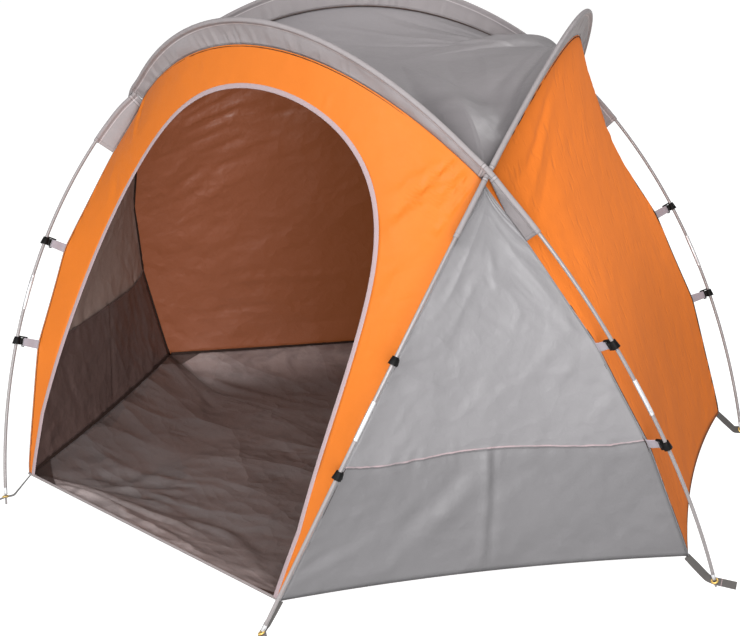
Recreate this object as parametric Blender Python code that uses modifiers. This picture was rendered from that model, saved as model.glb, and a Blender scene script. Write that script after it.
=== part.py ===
"""Beach shelter: three bent poles that cross at three points, with fabric walls, roof and floor inside them.

The shelter has threefold symmetry about +Z. Pole 0 arches over the doorway and leans out towards -Y. Poles 1
and 2 are the same arch turned by 120 and 240 degrees. Where two poles cross, four fabric panels meet: the
roof, two tall orange walls and one low grey wall. All sizes are in metres.
"""

import math

import bmesh
import bpy
import numpy as np
from mathutils import Matrix

# Poles
FOOT_RADIUS = 1.22
FOOT_TURN = math.radians(91.8)
POLE_HEIGHT = 1.47
POLE_LEAN = 0.542
ARC_POWER = 1.04
ARC_BOW = 0.084
POLE_RADIUS = 0.00475
TIP_RADIUS = 0.003
TIP_LENGTH = 0.03
TIP_SHOULDER = 0.001
STATION_STEP = 0.01
TIP_LIFT = 0.0006
CROSSING_SPREAD = 0.007
CROSSING_REACH = 0.05

# Distance from the pole's centre line in to the seam of the fabric
DROP_AT_CROSSING = 0.032
DROP_AT_TOP = 0.0775
DROP_ON_LEG = 0.064
DROP_AT_FOOT = 0.0745
DROP_RAMP = 0.12
FOOT_FLARE_HEIGHT = 0.6

# Places along a leg, measured up the pole from its foot
CLIP_PLACES = (0.50, 0.82)
FERRULE_SPAN = (0.598, 0.708)
LEG_STATIONS = (0.14, 0.28, 0.45, 0.55, 0.598, 0.708, 0.77, 0.87, 1.02)
SLEEVE_END = 1.17
NEAR_CROSSING = (0.12, 0.065, 0.035)
CROSSING_HALF = 0.012
TOP_STEPS = 6

# Fabric
HEM_HEIGHT = 0.08
HEM_CUT_SIDE = 0.025
HEM_CUT_REAR = 0.035
HEM_RISE = 0.008
FABRIC = 0.0025
SEAM_GAP = 0.0006
SIDE_COLUMNS = 5
ROOF_RINGS = 4
FLOOR_REACH = 0.30
FLOOR_POWER = 1.7
FLOOR_SHARES = (0, 0.35, 0.65, 0.85, 1)
POCKET_HEIGHT = 0.33
POCKET_FABRIC = 0.0015
POCKET_INSET = 0.014
LAYER_GAP = 0.0006

# Doorway, measured in the plane that faces -Y
DOOR_TOP = 1.28
DOOR_HALF_WIDTH = 0.567
DOOR_POWER = 5.3
DOOR_TUCK = 0.025
DOOR_TUCK_RISE = 0.15
DOOR_CUT_MIDDLE = 0.85
DOOR_CUT_HALF = 0.45
DOOR_CUT_FOOT = -0.05
DOOR_STEPS = 15
BINDING_WIDTH = 0.014

# Pole sleeves
SLEEVE_CLOTH = 0.001
SLEEVE_RADIUS = 0.0061
SLEEVE_HALF_NECK = 0.0009
SLEEVE_NECK = 0.0078
NECK_CLEAR = 0.0006
SLEEVE_GAP = 0.00035
CROSSING_DEPTH = 0.0078

# Hardware
FIT_GAP = 0.0003
FERRULE_RADIUS = 0.0062
FERRULE_RELIEF = 0.002
CLIP_RADIUS = 0.0095
CLIP_ARM = 0.026
CLIP_ARM_HALF = 0.006
CLIP_WIDTH = 0.02
CLIP_STEP = 0.05
TAB_HALF = 0.001
STRAP_WIDTH = 0.022
STRAP_THICKNESS = 0.002
STRAP_NARROW = 0.5
STRAP_LEVEL = 0.004
STRAP_AXIS = 0.02
# Places of a strap beyond its start, as distance past the pole's tip and height
STRAP_STOPS = ((-0.016, 0.0056), (-0.008, 0.004), (0.010, 0.004), (0.07, 0.0016))
STRAP_HOLE = 0.0037
ROUND_SIDES = 12

THIRD_TURN = 2 * math.pi / 3
MIRROR = np.array([0.5, math.sqrt(3) / 2, 0])
PANEL_NAMES = ("front_wall", "rear_wall_right", "rear_wall_left")
SIDE_NAMES = ("side_wall_right", "side_wall_rear", "side_wall_left")
SIDES = ("right", "rear", "left")

FINISHES = {
    "orange": ((0.80, 0.21, 0.03), 0.55, 0.0),
    "grey": ((0.36, 0.35, 0.35), 0.6, 0.0),
    "floor": ((0.20, 0.18, 0.17), 0.6, 0.0),
    "binding": ((0.60, 0.52, 0.53), 0.7, 0.0),
    "fibreglass": ((0.22, 0.22, 0.21), 0.35, 0.0),
    "metal": ((0.75, 0.75, 0.76), 0.3, 1.0),
    "black_plastic": ((0.02, 0.02, 0.02), 0.4, 0.0),
    "webbing": ((0.09, 0.085, 0.08), 0.8, 0.0),
}


# Small vector helpers
def unit(rows):
    """Each row at unit length. A row of zeros stays as it is."""
    return rows / np.maximum(np.linalg.norm(rows, axis=-1, keepdims=True), 1e-12)


def turned(points, thirds):
    """The points turned about +Z by a number of thirds of a turn."""
    angle = THIRD_TURN * thirds
    cos, sin = math.cos(angle), math.sin(angle)
    matrix = np.array([[cos, -sin, 0], [sin, cos, 0], [0, 0, 1]])
    return points @ matrix.T


def square_to(rows, tangents):
    """The part of each row that is square to its tangent, at unit length."""
    return unit(rows - (rows * tangents).sum(axis=-1, keepdims=True) * tangents)


# Curves of pole 0
class Arch:
    """The centre line of a pole and the seam below it, finely sampled, with lengths measured from each foot.

    At turn t, from -90 to 90 degrees, the centre line is at half span * sin t along, height * cos t ** power up,
    and leans out in step with its height.
    """

    def __init__(self):
        turns = np.linspace(-math.pi / 2, math.pi / 2, 8001)
        half_span = FOOT_RADIUS * math.sin(FOOT_TURN)
        back = FOOT_RADIUS * math.cos(FOOT_TURN)
        rise = np.maximum(np.cos(turns), 0) ** ARC_POWER
        lean = back + (POLE_LEAN - back) * (rise + ARC_BOW * rise * (1 - rise))
        self.pole = np.stack([np.sin(turns) * half_span, -lean, rise * POLE_HEIGHT], axis=1)
        steps = np.linalg.norm(np.diff(self.pole, axis=0), axis=1)
        self.length = np.concatenate([[0], np.cumsum(steps)])
        up = np.array([0, back - POLE_LEAN, POLE_HEIGHT])
        face = unit(np.cross([1.0, 0, 0], up))
        tangents = unit(np.gradient(self.pole, axis=0))
        self.inward = unit(np.cross(face, tangents))
        middle = len(turns) // 2
        self.inward *= -np.sign(self.inward[middle] @ up)
        self.crossing = self.where_symmetric(self.pole)
        self.drop = self.drops()
        self.seam = self.pole + self.inward * self.drop[:, None]
        self.seam_crossing = self.where_symmetric(self.seam)
        self.corner = self.total() - self.at_height(HEM_HEIGHT)
        self.stack = self.stacking(tangents)

    def total(self):
        return self.length[-1]

    def stacking(self, tangents):
        """Direction square to both poles at the crossing towards +X, pointing out of the shelter."""
        tangent = self.read(tangents, self.crossing)[0]
        mirrored = tangent - 2 * (tangent @ MIRROR) * MIRROR
        square = unit(np.cross(tangent, mirrored))
        return square * np.sign(square[2])

    def where_symmetric(self, points):
        """The length at which a curve meets the mirror plane that it shares with the next pole."""
        side = points @ MIRROR
        last = np.flatnonzero((side[:-1] < 0) & (side[1:] >= 0))[-1]
        part = -side[last] / (side[last + 1] - side[last])
        return self.length[last] + part * (self.length[last + 1] - self.length[last])

    def at_height(self, height):
        """The distance up from the far foot at which the seam is this high."""
        half = len(self.length) // 2
        low = self.seam[half:, 2]
        return self.total() - np.interp(-height, -low, self.length[half:])

    def drops(self):
        """Distance from the pole to the seam: widest over the doorway, narrow at a crossing, wide on a leg."""
        side = np.abs(self.pole[:, 0])
        edge = np.interp(self.crossing, self.length, self.pole[:, 0])
        top = DROP_AT_CROSSING + (DROP_AT_TOP - DROP_AT_CROSSING) * (1 - (side / edge) ** 2)
        ramp = np.sqrt(np.clip((side - edge) / DROP_RAMP, 0, 1))
        flare = np.clip(1 - self.pole[:, 2] / FOOT_FLARE_HEIGHT, 0, 1) ** 1.5
        leg = DROP_AT_CROSSING + (DROP_ON_LEG - DROP_AT_CROSSING) * ramp
        leg += (DROP_AT_FOOT - DROP_ON_LEG) * flare
        return np.where(side < edge, top, leg)

    def read(self, table, lengths):
        lengths = np.atleast_1d(lengths)
        return np.stack([np.interp(lengths, self.length, table[:, i]) for i in range(3)], axis=1)


ARCH = Arch()


def leg_lengths():
    """Lengths of a leg's stations from the far crossing down to the foot, as measured on the whole arch."""
    total = ARCH.total()
    near = [ARCH.crossing + step for step in reversed(NEAR_CROSSING)]
    down = [total - place for place in (SLEEVE_END,) + tuple(reversed(LEG_STATIONS))]
    return np.array(near + down)


def top_lengths():
    """Lengths of the stations between the two crossings, left to right."""
    total = ARCH.total()
    near = [ARCH.crossing - step for step in NEAR_CROSSING]
    middle = np.linspace(total - near[0], near[0], 2 * TOP_STEPS + 1)
    return np.array([total - step for step in reversed(near[1:])] + list(middle) + near[1:])


def seam_leg(side):
    """Seam of pole 0 from a crossing down to the floor corner. Side is 1 towards +X and -1 towards -X."""
    lengths = np.concatenate([[ARCH.seam_crossing], leg_lengths(), [ARCH.corner]])
    points = ARCH.read(ARCH.seam, lengths)
    return points * np.array([side, 1, 1])


def seam_top():
    ends = np.array([ARCH.total() - ARCH.seam_crossing, ARCH.seam_crossing])
    lengths = np.concatenate([ends[:1], top_lengths(), ends[1:]])
    return ARCH.read(ARCH.seam, lengths)


# Fabric nets
def along(points):
    """Share of the way along a line of points, by distance."""
    steps = np.linalg.norm(np.diff(points, axis=0), axis=1)
    return np.concatenate([[0], np.cumsum(steps)]) / steps.sum()


def hem(start, end, shares, cut):
    """The lower edge of a wall: a shallow curve cut in towards the centre of the floor, and a little up."""
    line = start + (end - start) * shares[:, None]
    middle = (start + end) / 2
    inward = -unit(middle * np.array([1, 1, 0]))
    bend = (4 * shares * (1 - shares))[:, None]
    return line + bend * (inward * cut + np.array([0, 0, HEM_RISE if cut else 0]))


def settle(net, rounds=600):
    """Moves the inner points of a net to where the pulls of their four neighbours balance, as taut cloth."""
    across = 1 / np.maximum(np.linalg.norm(np.diff(net, axis=1), axis=2), 1e-4) ** 2
    down = 1 / np.maximum(np.linalg.norm(np.diff(net, axis=0), axis=2), 1e-4) ** 2
    left, right = across[1:-1, :-1, None], across[1:-1, 1:, None]
    below, above = down[:-1, 1:-1, None], down[1:, 1:-1, None]
    total = left + right + below + above
    net = net.copy()
    for _ in range(rounds):
        pull = left * net[1:-1, :-2] + right * net[1:-1, 2:]
        pull += below * net[:-2, 1:-1] + above * net[2:, 1:-1]
        net[1:-1, 1:-1] = pull / total
    return net


def wall_net(cut):
    """Net of a tall wall in the place of pole 0's: rows from hem to roof, columns from left to right."""
    top = seam_top()
    left = turned(seam_leg(1), -1)[::-1]
    right = turned(seam_leg(-1), 1)[::-1]
    u = along(top)
    v = along(left)[:, None, None]
    bottom = hem(left[0], right[0], u, cut)
    u = u[None, :, None]
    ruled = (1 - v) * bottom[None] + v * top[None]
    ruled = ruled + (1 - u) * left[:, None] + u * right[:, None]
    corners = (1 - v) * ((1 - u) * left[0] + u * right[0]) + v * ((1 - u) * top[0] + u * top[-1])
    return settle(ruled - corners)


def side_net():
    """Net of the grey wall between poles 0 and 1: rows from hem to crossing, columns from left to right."""
    left = turned(seam_leg(-1), 1)[::-1]
    right = seam_leg(1)[::-1]
    shares = np.linspace(0, 1, SIDE_COLUMNS + 1)
    net = left[:, None] + (right - left)[:, None] * shares[None, :, None]
    net[0] = hem(left[0], right[0], shares, HEM_CUT_SIDE)
    return settle(net)


def roof_net():
    """Net of the roof: rings from its middle out. Height departs from its mean with the cube of the radius."""
    edge = np.concatenate([turned(seam_top(), third)[:-1] for third in range(3)])
    mean = edge[:, 2].mean()
    radii = np.linspace(0, 1, ROOF_RINGS + 1)[1:, None]
    flat = edge[None, :, :2] * radii[:, :, None]
    height = mean + (edge[None, :, 2] - mean) * radii**3
    return np.concatenate([flat, height[:, :, None]], axis=2), np.array([0, 0, mean])


def net_normals(net):
    """Outward normals of a net whose rows run up and whose columns run to the right, seen from outside."""
    normals = np.cross(np.gradient(net, axis=1), np.gradient(net, axis=0))
    thin = np.linalg.norm(normals, axis=2) < 1e-9
    normals[thin] = np.broadcast_to(normals[-2:-1], normals.shape)[thin] if thin[-1].any() else 1
    return unit(normals)


def inner_skin(points, *normals):
    """Where the inner faces of the panels that meet at these points meet each other."""
    middle = unit(sum(normals))
    share = sum((normal * middle).sum(axis=-1, keepdims=True) for normal in normals) / len(normals)
    return points - FABRIC * middle / share


def border_shift(net):
    """How far each border point of a net moves inwards so that panels that share a seam keep a gap."""
    shift = np.zeros_like(net)
    rows, columns = net.shape[:2]
    left = square_to(net[:, 1] - net[:, 0], unit(np.gradient(net[:, 0], axis=0)))
    right = square_to(net[:, -2] - net[:, -1], unit(np.gradient(net[:, -1], axis=0)))
    low = square_to(net[1] - net[0], unit(np.gradient(net[0], axis=0)))
    pointed = np.ptp(net[-1], axis=0).max() < 1e-6
    if pointed:
        left[-1] = left[-2]
        right[-1] = right[-2]
    shift[:, 0] = left
    shift[:, -1] = right
    shift[0] = low
    ends = [(0, 0, low[0], left[0]), (0, columns - 1, low[-1], right[0])]
    if pointed:
        shift[-1] = (left[-1] + right[-1]) / (1 + left[-1] @ right[-1])
    else:
        high = square_to(net[-2] - net[-1], unit(np.gradient(net[-1], axis=0)))
        shift[-1] = high
        ends += [(rows - 1, 0, high[0], left[-1]), (rows - 1, columns - 1, high[-1], right[-1])]
    for row, column, one, other in ends:
        shift[row, column] = (one + other) / (1 + one @ other)
    return shift * SEAM_GAP / 2


# Making objects
def clear_scene():
    for item in list(bpy.data.objects):
        bpy.data.objects.remove(item)


def new_collection(name):
    made = bpy.data.collections.new(name)
    bpy.context.scene.collection.children.link(made)
    return made


def finish(name):
    """The material of this name, made once."""
    if name in bpy.data.materials:
        return bpy.data.materials[name]
    colour, roughness, metallic = FINISHES[name]
    made = bpy.data.materials.new(name)
    made.use_nodes = True
    shader = made.node_tree.nodes["Principled BSDF"]
    shader.inputs["Base Color"].default_value = (*colour, 1)
    shader.inputs["Roughness"].default_value = roughness
    shader.inputs["Metallic"].default_value = metallic
    return made


def add_mesh(name, points, faces, material, collection):
    mesh = bpy.data.meshes.new(name)
    mesh.from_pydata(np.asarray(points).reshape(-1, 3).tolist(), [], [list(map(int, face)) for face in faces])
    made = bpy.data.objects.new(name, mesh)
    collection.objects.link(made)
    mesh.materials.append(finish(material))
    tidy = bmesh.new()
    tidy.from_mesh(mesh)
    bmesh.ops.remove_doubles(tidy, verts=tidy.verts, dist=1e-6)
    bmesh.ops.dissolve_degenerate(tidy, edges=tidy.edges, dist=1e-6)
    tidy.to_mesh(mesh)
    tidy.free()
    return made


def grid_faces(rows, columns, start=0, wrap=False):
    """Triangles of a grid of points, seen from the side where rows go up and columns go right.

    Each square is split along the same diagonal on every layer, so that layers of cloth lie flat on each other.
    """
    index = start + np.arange(rows * columns).reshape(rows, columns)
    if wrap:
        index = np.concatenate([index, index[:, :1]], axis=1)
    low, right, far, up = index[:-1, :-1], index[:-1, 1:], index[1:, 1:], index[1:, :-1]
    halves = (low, right, far), (low, far, up)
    return np.concatenate([np.stack(corners, axis=-1).reshape(-1, 3) for corners in halves])


def rim_faces(rows, columns, start):
    """Quads that join the border of a grid of points to that of a second grid, which follows it."""
    index = np.arange(rows * columns).reshape(rows, columns)
    border = np.concatenate([index[0, :-1], index[:-1, -1], index[-1, :0:-1], index[:0:-1, 0]])
    after = np.roll(border, -1)
    return np.stack([border, border + start, after + start, after], axis=1)


def panel(name, outer, inner, material):
    """A closed sheet between two nets."""
    rows, columns = outer.shape[:2]
    count = rows * columns
    skins = [*grid_faces(rows, columns), *grid_faces(rows, columns, count)[:, ::-1]]
    points = np.concatenate([outer.reshape(-1, 3), inner.reshape(-1, 3)])
    return add_mesh(name, points, [*skins, *rim_faces(rows, columns, count)], material, PARTS)


def extruded(name, loops, half_length, place, material, collection=None):
    """A flat outline with holes, extruded both ways along the local Z of its place."""
    curve = bpy.data.curves.new(name, "CURVE")
    curve.dimensions = "2D"
    curve.fill_mode = "BOTH"
    curve.extrude = half_length
    for loop in loops:
        spline = curve.splines.new("POLY")
        spline.points.add(len(loop) - 1)
        spline.points.foreach_set("co", [value for x, y in loop for value in (x, y, 0, 1)])
        spline.use_cyclic_u = True
    made = bpy.data.objects.new(name, curve)
    (collection or PARTS).objects.link(made)
    curve.materials.append(finish(material))
    made.matrix_world = place
    return made


def placed(origin, x, y, z):
    """Matrix with these local axes."""
    return Matrix([[x[i], y[i], z[i], origin[i]] for i in range(3)] + [[0, 0, 0, 1]])


def circle(radius, sides=ROUND_SIDES):
    angles = np.arange(sides) * 2 * math.pi / sides
    return np.stack([np.cos(angles), np.sin(angles)], axis=1) * radius


# Panels
def shared_frames():
    """All wall nets in place, with their normals, and the roof's edge normals."""
    cuts = (0, HEM_CUT_REAR, HEM_CUT_REAR)
    walls = [turned(wall_net(cut), third) for third, cut in enumerate(cuts)]
    side = side_net()
    sides = [turned(side, third) for third in range(3)]
    rings, middle = roof_net()
    wrapped = np.concatenate([rings[:, -1:], rings, rings[:, :1]], axis=1)
    roof_normals = unit(np.cross(np.gradient(wrapped, axis=1), -np.gradient(wrapped, axis=0)))[:, 1:-1]
    return walls, sides, rings, middle, roof_normals


def floor_slope_normals(points):
    """Outward normals of the floor's raised rim at the hem, from which it slopes in and down."""
    level = points * np.array([1, 1, 0])
    outward = unit(level)
    tangents = unit(np.gradient(points, axis=0))
    slope = np.array([0, 0, HEM_HEIGHT]) + outward * FLOOR_REACH / FLOOR_POWER
    normals = unit(np.cross(slope, tangents))
    return normals * -np.sign(normals[:, 2:])


def seam_normals(roof_normals, columns, k):
    """Normals of the roof along one of its three edges."""
    stops = np.arange(k * columns, (k + 1) * columns + 1)
    return np.take(roof_normals[-1], stops, axis=0, mode="wrap")


def inner_nets(walls, sides, wall_normals, side_normals, roof_edge):
    """Inner faces of the walls and the side walls. At a seam or corner, those of all its panels meet."""
    wall_floor = [floor_slope_normals(net[0]) for net in walls]
    side_floor = [floor_slope_normals(net[0]) for net in sides]
    crossings = []
    for k in range(3):
        others = wall_normals[k][-1, -1], wall_normals[(k + 1) % 3][-1, 0], side_normals[k][-1, 0]
        crossings.append(inner_skin(walls[k][-1, -1], roof_edge[k][-1], *others))
    wall_inner, side_inner = [], []
    for k in range(3):
        after, before = (k + 1) % 3, (k + 2) % 3
        net, normals, low = walls[k], wall_normals[k], wall_floor[k]
        inner = net - FABRIC * normals
        inner[-1] = inner_skin(net[-1], normals[-1], roof_edge[k])
        inner[0] = inner_skin(net[0], normals[0], low)
        inner[:, -1] = inner_skin(net[:, -1], normals[:, -1], side_normals[k][:, 0])
        inner[:, 0] = inner_skin(net[:, 0], normals[:, 0], side_normals[before][:, -1])
        inner[-1, -1], inner[-1, 0] = crossings[k], crossings[before]
        inner[0, -1] = inner_skin(net[0, -1], normals[0, -1], side_normals[k][0, 0], low[-1])
        inner[0, 0] = inner_skin(net[0, 0], normals[0, 0], side_normals[before][0, -1], low[0])
        wall_inner.append(inner)
        net, normals = sides[k], side_normals[k]
        inner = net - FABRIC * normals
        inner[0] = inner_skin(net[0], normals[0], side_floor[k])
        inner[:, 0] = inner_skin(net[:, 0], normals[:, 0], wall_normals[k][:, -1])
        inner[:, -1] = inner_skin(net[:, -1], normals[:, -1], wall_normals[after][:, 0])
        inner[-1] = crossings[k]
        side_inner.append(inner)
    for k in range(3):
        side_inner[k][0, 0] = wall_inner[k][0, -1]
        side_inner[k][0, -1] = wall_inner[(k + 1) % 3][0, 0]
    return wall_inner, side_inner


def make_panels():
    """Roof, walls and floor, each a sheet with its own gap to its neighbours along the seams."""
    walls, sides, rings, middle, roof_normals = shared_frames()
    wall_normals = [net_normals(net) for net in walls]
    side_normals = [net_normals(net) for net in sides]
    roof_edge = [seam_normals(roof_normals, walls[0].shape[1] - 1, k) for k in range(3)]
    wall_inner, side_inner = inner_nets(walls, sides, wall_normals, side_normals, roof_edge)
    for k in range(3):
        shift = border_shift(walls[k])
        panel(PANEL_NAMES[k], walls[k] + shift, wall_inner[k] + shift, "orange")
        shift = border_shift(sides[k])
        panel(SIDE_NAMES[k], sides[k] + shift, side_inner[k] + shift, "grey")
        make_pocket(SIDES[k], sides[k], side_normals[k])
    make_roof(rings, middle, roof_normals, wall_inner)
    make_floor(walls, sides, wall_inner, side_inner)
    return walls, sides


def make_pocket(side, net, normals):
    """A storage pocket: a second layer of cloth low on the inside of a grey wall."""
    inner = net - normals * (FABRIC + LAYER_GAP)
    low = inner[:, [0, -1], 2].min(axis=1)
    rows = int(np.argmin(np.abs(low - HEM_HEIGHT - POCKET_HEIGHT))) + 1
    face = inner[:rows].copy()
    face[:, 0] += unit(face[:, 1] - face[:, 0]) * POCKET_INSET
    face[:, -1] += unit(face[:, -2] - face[:, -1]) * POCKET_INSET
    face[0] += unit(face[1] - face[0]) * POCKET_INSET
    back = face - normals[:rows] * POCKET_FABRIC
    panel(f"pocket_{side}", face, back, "grey")


def make_roof(rings, middle, normals, wall_inner):
    """The roof between the three crossings, as rings round its middle."""
    outer, inner = rings.copy(), rings - FABRIC * normals
    edge = rings[-1]
    inward = square_to(rings[-2] - edge, unit(np.roll(edge, -1, axis=0) - np.roll(edge, 1, axis=0)))
    inner[-1] = np.concatenate([inner_wall[-1, :-1] for inner_wall in wall_inner])
    corner_count = len(edge) // 3
    reach = np.ones((len(edge), 1))
    for k in range(3):
        corner = k * corner_count
        before = unit(edge[corner - 1] - edge[corner])
        after = unit(edge[corner + 1] - edge[corner])
        half = math.acos(np.clip(before @ after, -1, 1)) / 2
        inward[corner] = unit(before + after)
        reach[corner] = 1 / math.sin(half)
    shift = inward * reach * SEAM_GAP / 2
    outer[-1] += shift
    inner[-1] += shift
    round_closed("roof", outer, inner, middle, middle - [0, 0, FABRIC], "grey")


def round_closed(name, outer, inner, outer_middle, inner_middle, material):
    """A closed sheet of rings, the outer face seen from outside, with a fan at the middle of each face."""
    rows, columns = outer.shape[:2]
    count = rows * columns
    ring = np.arange(columns)
    after = np.roll(ring, -1)
    last = count - columns + ring
    last_after = count - columns + after
    tops = grid_faces(rows, columns, 0, wrap=True)[:, ::-1]
    backs = grid_faces(rows, columns, count, wrap=True)
    rim = np.stack([last, last + count, last_after + count, last_after], axis=1)
    points = np.concatenate([outer.reshape(-1, 3), inner.reshape(-1, 3), [outer_middle, inner_middle]])
    fans = [(a, b, 2 * count) for a, b in zip(ring, after)]
    fans += [(b + count, a + count, 2 * count + 1) for a, b in zip(ring, after)]
    return add_mesh(name, points, [*tops.tolist(), *backs.tolist(), *rim.tolist(), *fans], material, PARTS)


def make_floor(walls, sides, wall_inner, side_inner):
    """A shallow tray: flat on the ground, then curving up to the hem of the walls, steepest at the hem."""
    hem_line, hem_inner = [], []
    for k in range(3):
        hem_line += [walls[k][0, :-1], sides[k][0, :-1]]
        hem_inner += [wall_inner[k][0, :-1], side_inner[k][0, :-1]]
    edge, edge_inner = np.concatenate(hem_line), np.concatenate(hem_inner)
    outward = unit(edge * np.array([1, 1, 0]))
    foot = edge * np.array([1, 1, 0]) - outward * FLOOR_REACH
    shares = np.array(FLOOR_SHARES)[:, None, None]
    outer = foot + (edge - foot) * np.concatenate([shares, shares, shares**FLOOR_POWER], axis=2)
    inner = outer + [0, 0, FABRIC]
    down = unit(outer[-2] - edge) * SEAM_GAP / 2
    outer[-1], inner[-1] = edge + down, edge_inner + down
    round_closed("floor", inner, outer, np.array([0, 0, FABRIC]), np.zeros(3), "floor")


# Doorway
def door_outline(grow):
    """Outline of the doorway in the X and Z plane, grown by this much all round.

    Half width at a share of the height is half width * (1 - share ** power) ** (1 / 2), tucked in near the hem.
    """
    turns = np.linspace(0, math.pi / 2, DOOR_STEPS)
    height = DOOR_TOP - HEM_HEIGHT + grow
    rise = np.sin(turns)
    width = (DOOR_HALF_WIDTH + grow) * np.sqrt(1 - rise**DOOR_POWER)
    width -= DOOR_TUCK * np.clip(1 - rise / DOOR_TUCK_RISE, 0, 1)
    right = np.stack([width, HEM_HEIGHT + height * rise], axis=1)
    left = right[-2::-1] * np.array([-1, 1])
    return np.concatenate([[[right[0, 0], DOOR_CUT_FOOT]], right, left, [[left[-1, 0], DOOR_CUT_FOOT]]])


def door_prism(name, loops, collection):
    """A prism along Y through the front wall, as a mesh that can cut."""
    place = placed((0, -DOOR_CUT_MIDDLE, 0), (1, 0, 0), (0, 0, 1), (0, -1, 0))
    curve = extruded(name + "_outline", loops, DOOR_CUT_HALF, place, "orange", collection)
    bpy.context.view_layer.update()
    graph = bpy.context.evaluated_depsgraph_get()
    mesh = bpy.data.meshes.new_from_object(curve.evaluated_get(graph))
    weld = bmesh.new()
    weld.from_mesh(mesh)
    bmesh.ops.remove_doubles(weld, verts=weld.verts, dist=1e-6)
    bmesh.ops.recalc_face_normals(weld, faces=weld.faces)
    weld.to_mesh(mesh)
    weld.free()
    made = bpy.data.objects.new(name, mesh)
    made.matrix_world = curve.matrix_world
    bpy.data.objects.remove(curve)
    collection.objects.link(made)
    made.hide_render = True
    made.display_type = "WIRE"
    return made


def cut(target, cutter, operation="DIFFERENCE"):
    modifier = target.modifiers.new("cut", "BOOLEAN")
    modifier.operation = operation
    modifier.object = cutter
    modifier.solver = "EXACT"


def make_doorway():
    """Cuts the doorway and binds its edge with a tape that follows the wall."""
    wall = bpy.data.objects["front_wall"]
    tape = wall.copy()
    tape.data = wall.data.copy()
    tape.name = "door_binding"
    tape.data.materials.clear()
    tape.data.materials.append(finish("binding"))
    PARTS.objects.link(tape)
    opening = door_outline(BINDING_WIDTH + FIT_GAP)
    cut(wall, door_prism("doorway_cutter", [opening], CUTTERS))
    band = door_outline(BINDING_WIDTH)
    inside = door_outline(0)
    inside[[0, -1], 1] = DOOR_CUT_FOOT - FIT_GAP
    cut(tape, door_prism("binding_cutter", [band], CUTTERS), "INTERSECT")
    cut(tape, door_prism("binding_inside", [inside], CUTTERS))


# Poles and what they carry
def pole_lengths():
    """Lengths of every point of a pole, which are also those of the seams and sleeves beside it."""
    total = ARCH.total()
    crossing = ARCH.crossing + CROSSING_HALF * np.array([-1, 0, 1])
    tip = [total - TIP_LENGTH, total - TIP_LENGTH + TIP_SHOULDER, total]
    half = np.concatenate([crossing, leg_lengths(), tip])
    return np.concatenate([(total - half)[::-1], top_lengths(), half])


def pole_points(pole, lengths):
    """Centre line of a pole. At a crossing the pole that lies on top stands out and the other stands in."""
    points = ARCH.read(ARCH.pole, lengths)
    right_over, left_over = OVER[pole]
    for place, over, side in ((ARCH.crossing, right_over, 1), (ARCH.total() - ARCH.crossing, left_over, -1)):
        share = np.exp(-(((lengths - place) / CROSSING_REACH) ** 2))[:, None]
        points = points + ARCH.stack * [side, 1, 1] * share * over * CROSSING_SPREAD
    points[:, 2] += TIP_LIFT * np.clip(1 - points[:, 2] / 0.1, 0, 1)
    return turned(points, pole)


def make_pole(pole):
    lengths = pole_lengths()
    points = pole_points(pole, lengths)
    curve = bpy.data.curves.new(f"pole_{pole + 1}", "CURVE")
    curve.dimensions = "3D"
    curve.bevel_depth = POLE_RADIUS
    curve.bevel_resolution = 2
    curve.use_fill_caps = True
    spline = curve.splines.new("POLY")
    spline.points.add(len(points) - 1)
    rows = np.concatenate([points, np.ones((len(points), 1))], axis=1)
    spline.points.foreach_set("co", rows.ravel())
    radii = np.ones(len(points))
    radii[[0, 1, -2, -1]] = TIP_RADIUS / POLE_RADIUS
    spline.points.foreach_set("radius", radii)
    curve.materials.append(finish("fibreglass"))
    made = bpy.data.objects.new(f"pole_{pole + 1}", curve)
    PARTS.objects.link(made)


def stations(pole, lengths):
    """Pole points, seam points and, square to the pole, the axes across the fin and out along it."""
    points = pole_points(pole, lengths)
    tangents = unit(pole_points(pole, lengths + STATION_STEP) - pole_points(pole, lengths - STATION_STEP))
    seam = turned(ARCH.read(ARCH.seam, lengths), pole)
    out = square_to(points - seam, tangents)
    return points, seam, np.cross(tangents, out), out


def fin_lift(out, panels):
    """Gap between the seam and a fin's lower edge, so that the fin's cloth clears both panels."""
    half = SLEEVE_HALF_NECK + SLEEVE_CLOTH / 2
    lift = np.full(len(out), SLEEVE_GAP)
    for direction in panels:
        cosine = (out * direction).sum(axis=1)
        sine = np.sqrt(1 - cosine**2)
        lift = np.maximum(lift, (SLEEVE_GAP + half * cosine) / sine)
    return lift


def panel_directions(pole, part, walls, sides):
    """Directions in which the two panels at a seam leave it, at each station of that seam."""
    before, after = (pole + 2) % 3, (pole + 1) % 3
    if part == "top":
        rings = roof_net()[0]
        count = walls[0].shape[1] - 1
        index = np.arange(pole * count, (pole + 1) * count + 1) % rings.shape[1]
        pairs = [(walls[pole][-1], walls[pole][-2]), (rings[-1][index], rings[-2][index])]
    elif part == "right":
        pairs = [(sides[pole][:, -1], sides[pole][:, -2]), (walls[after][:, 0], walls[after][:, 1])]
    else:
        pairs = [(sides[before][:, 0], sides[before][:, 1]), (walls[before][:, -1], walls[before][:, -2])]
    found = []
    for edge, inner in pairs:
        tangents = unit(np.gradient(edge, axis=0))
        direction = inner - edge
        direction[-1] = direction[-2] if part != "top" else direction[-1]
        found.append(square_to(direction, tangents))
    return found


def sleeve_row(point, foot, across, out):
    """Points of a sleeve's section: up one face of the fin, round the pole and down the other face."""
    depth = (point - foot) @ out
    neck = point - out * min(SLEEVE_NECK, depth - NECK_CLEAR)
    turns = np.radians(np.linspace(-135, 135, 7))[:, None]
    ring = point + (np.sin(turns) * across + np.cos(turns) * out) * SLEEVE_RADIUS
    half = SLEEVE_HALF_NECK * across
    return np.concatenate([[foot - half, neck - half], ring, [neck + half, foot + half]])


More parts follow.
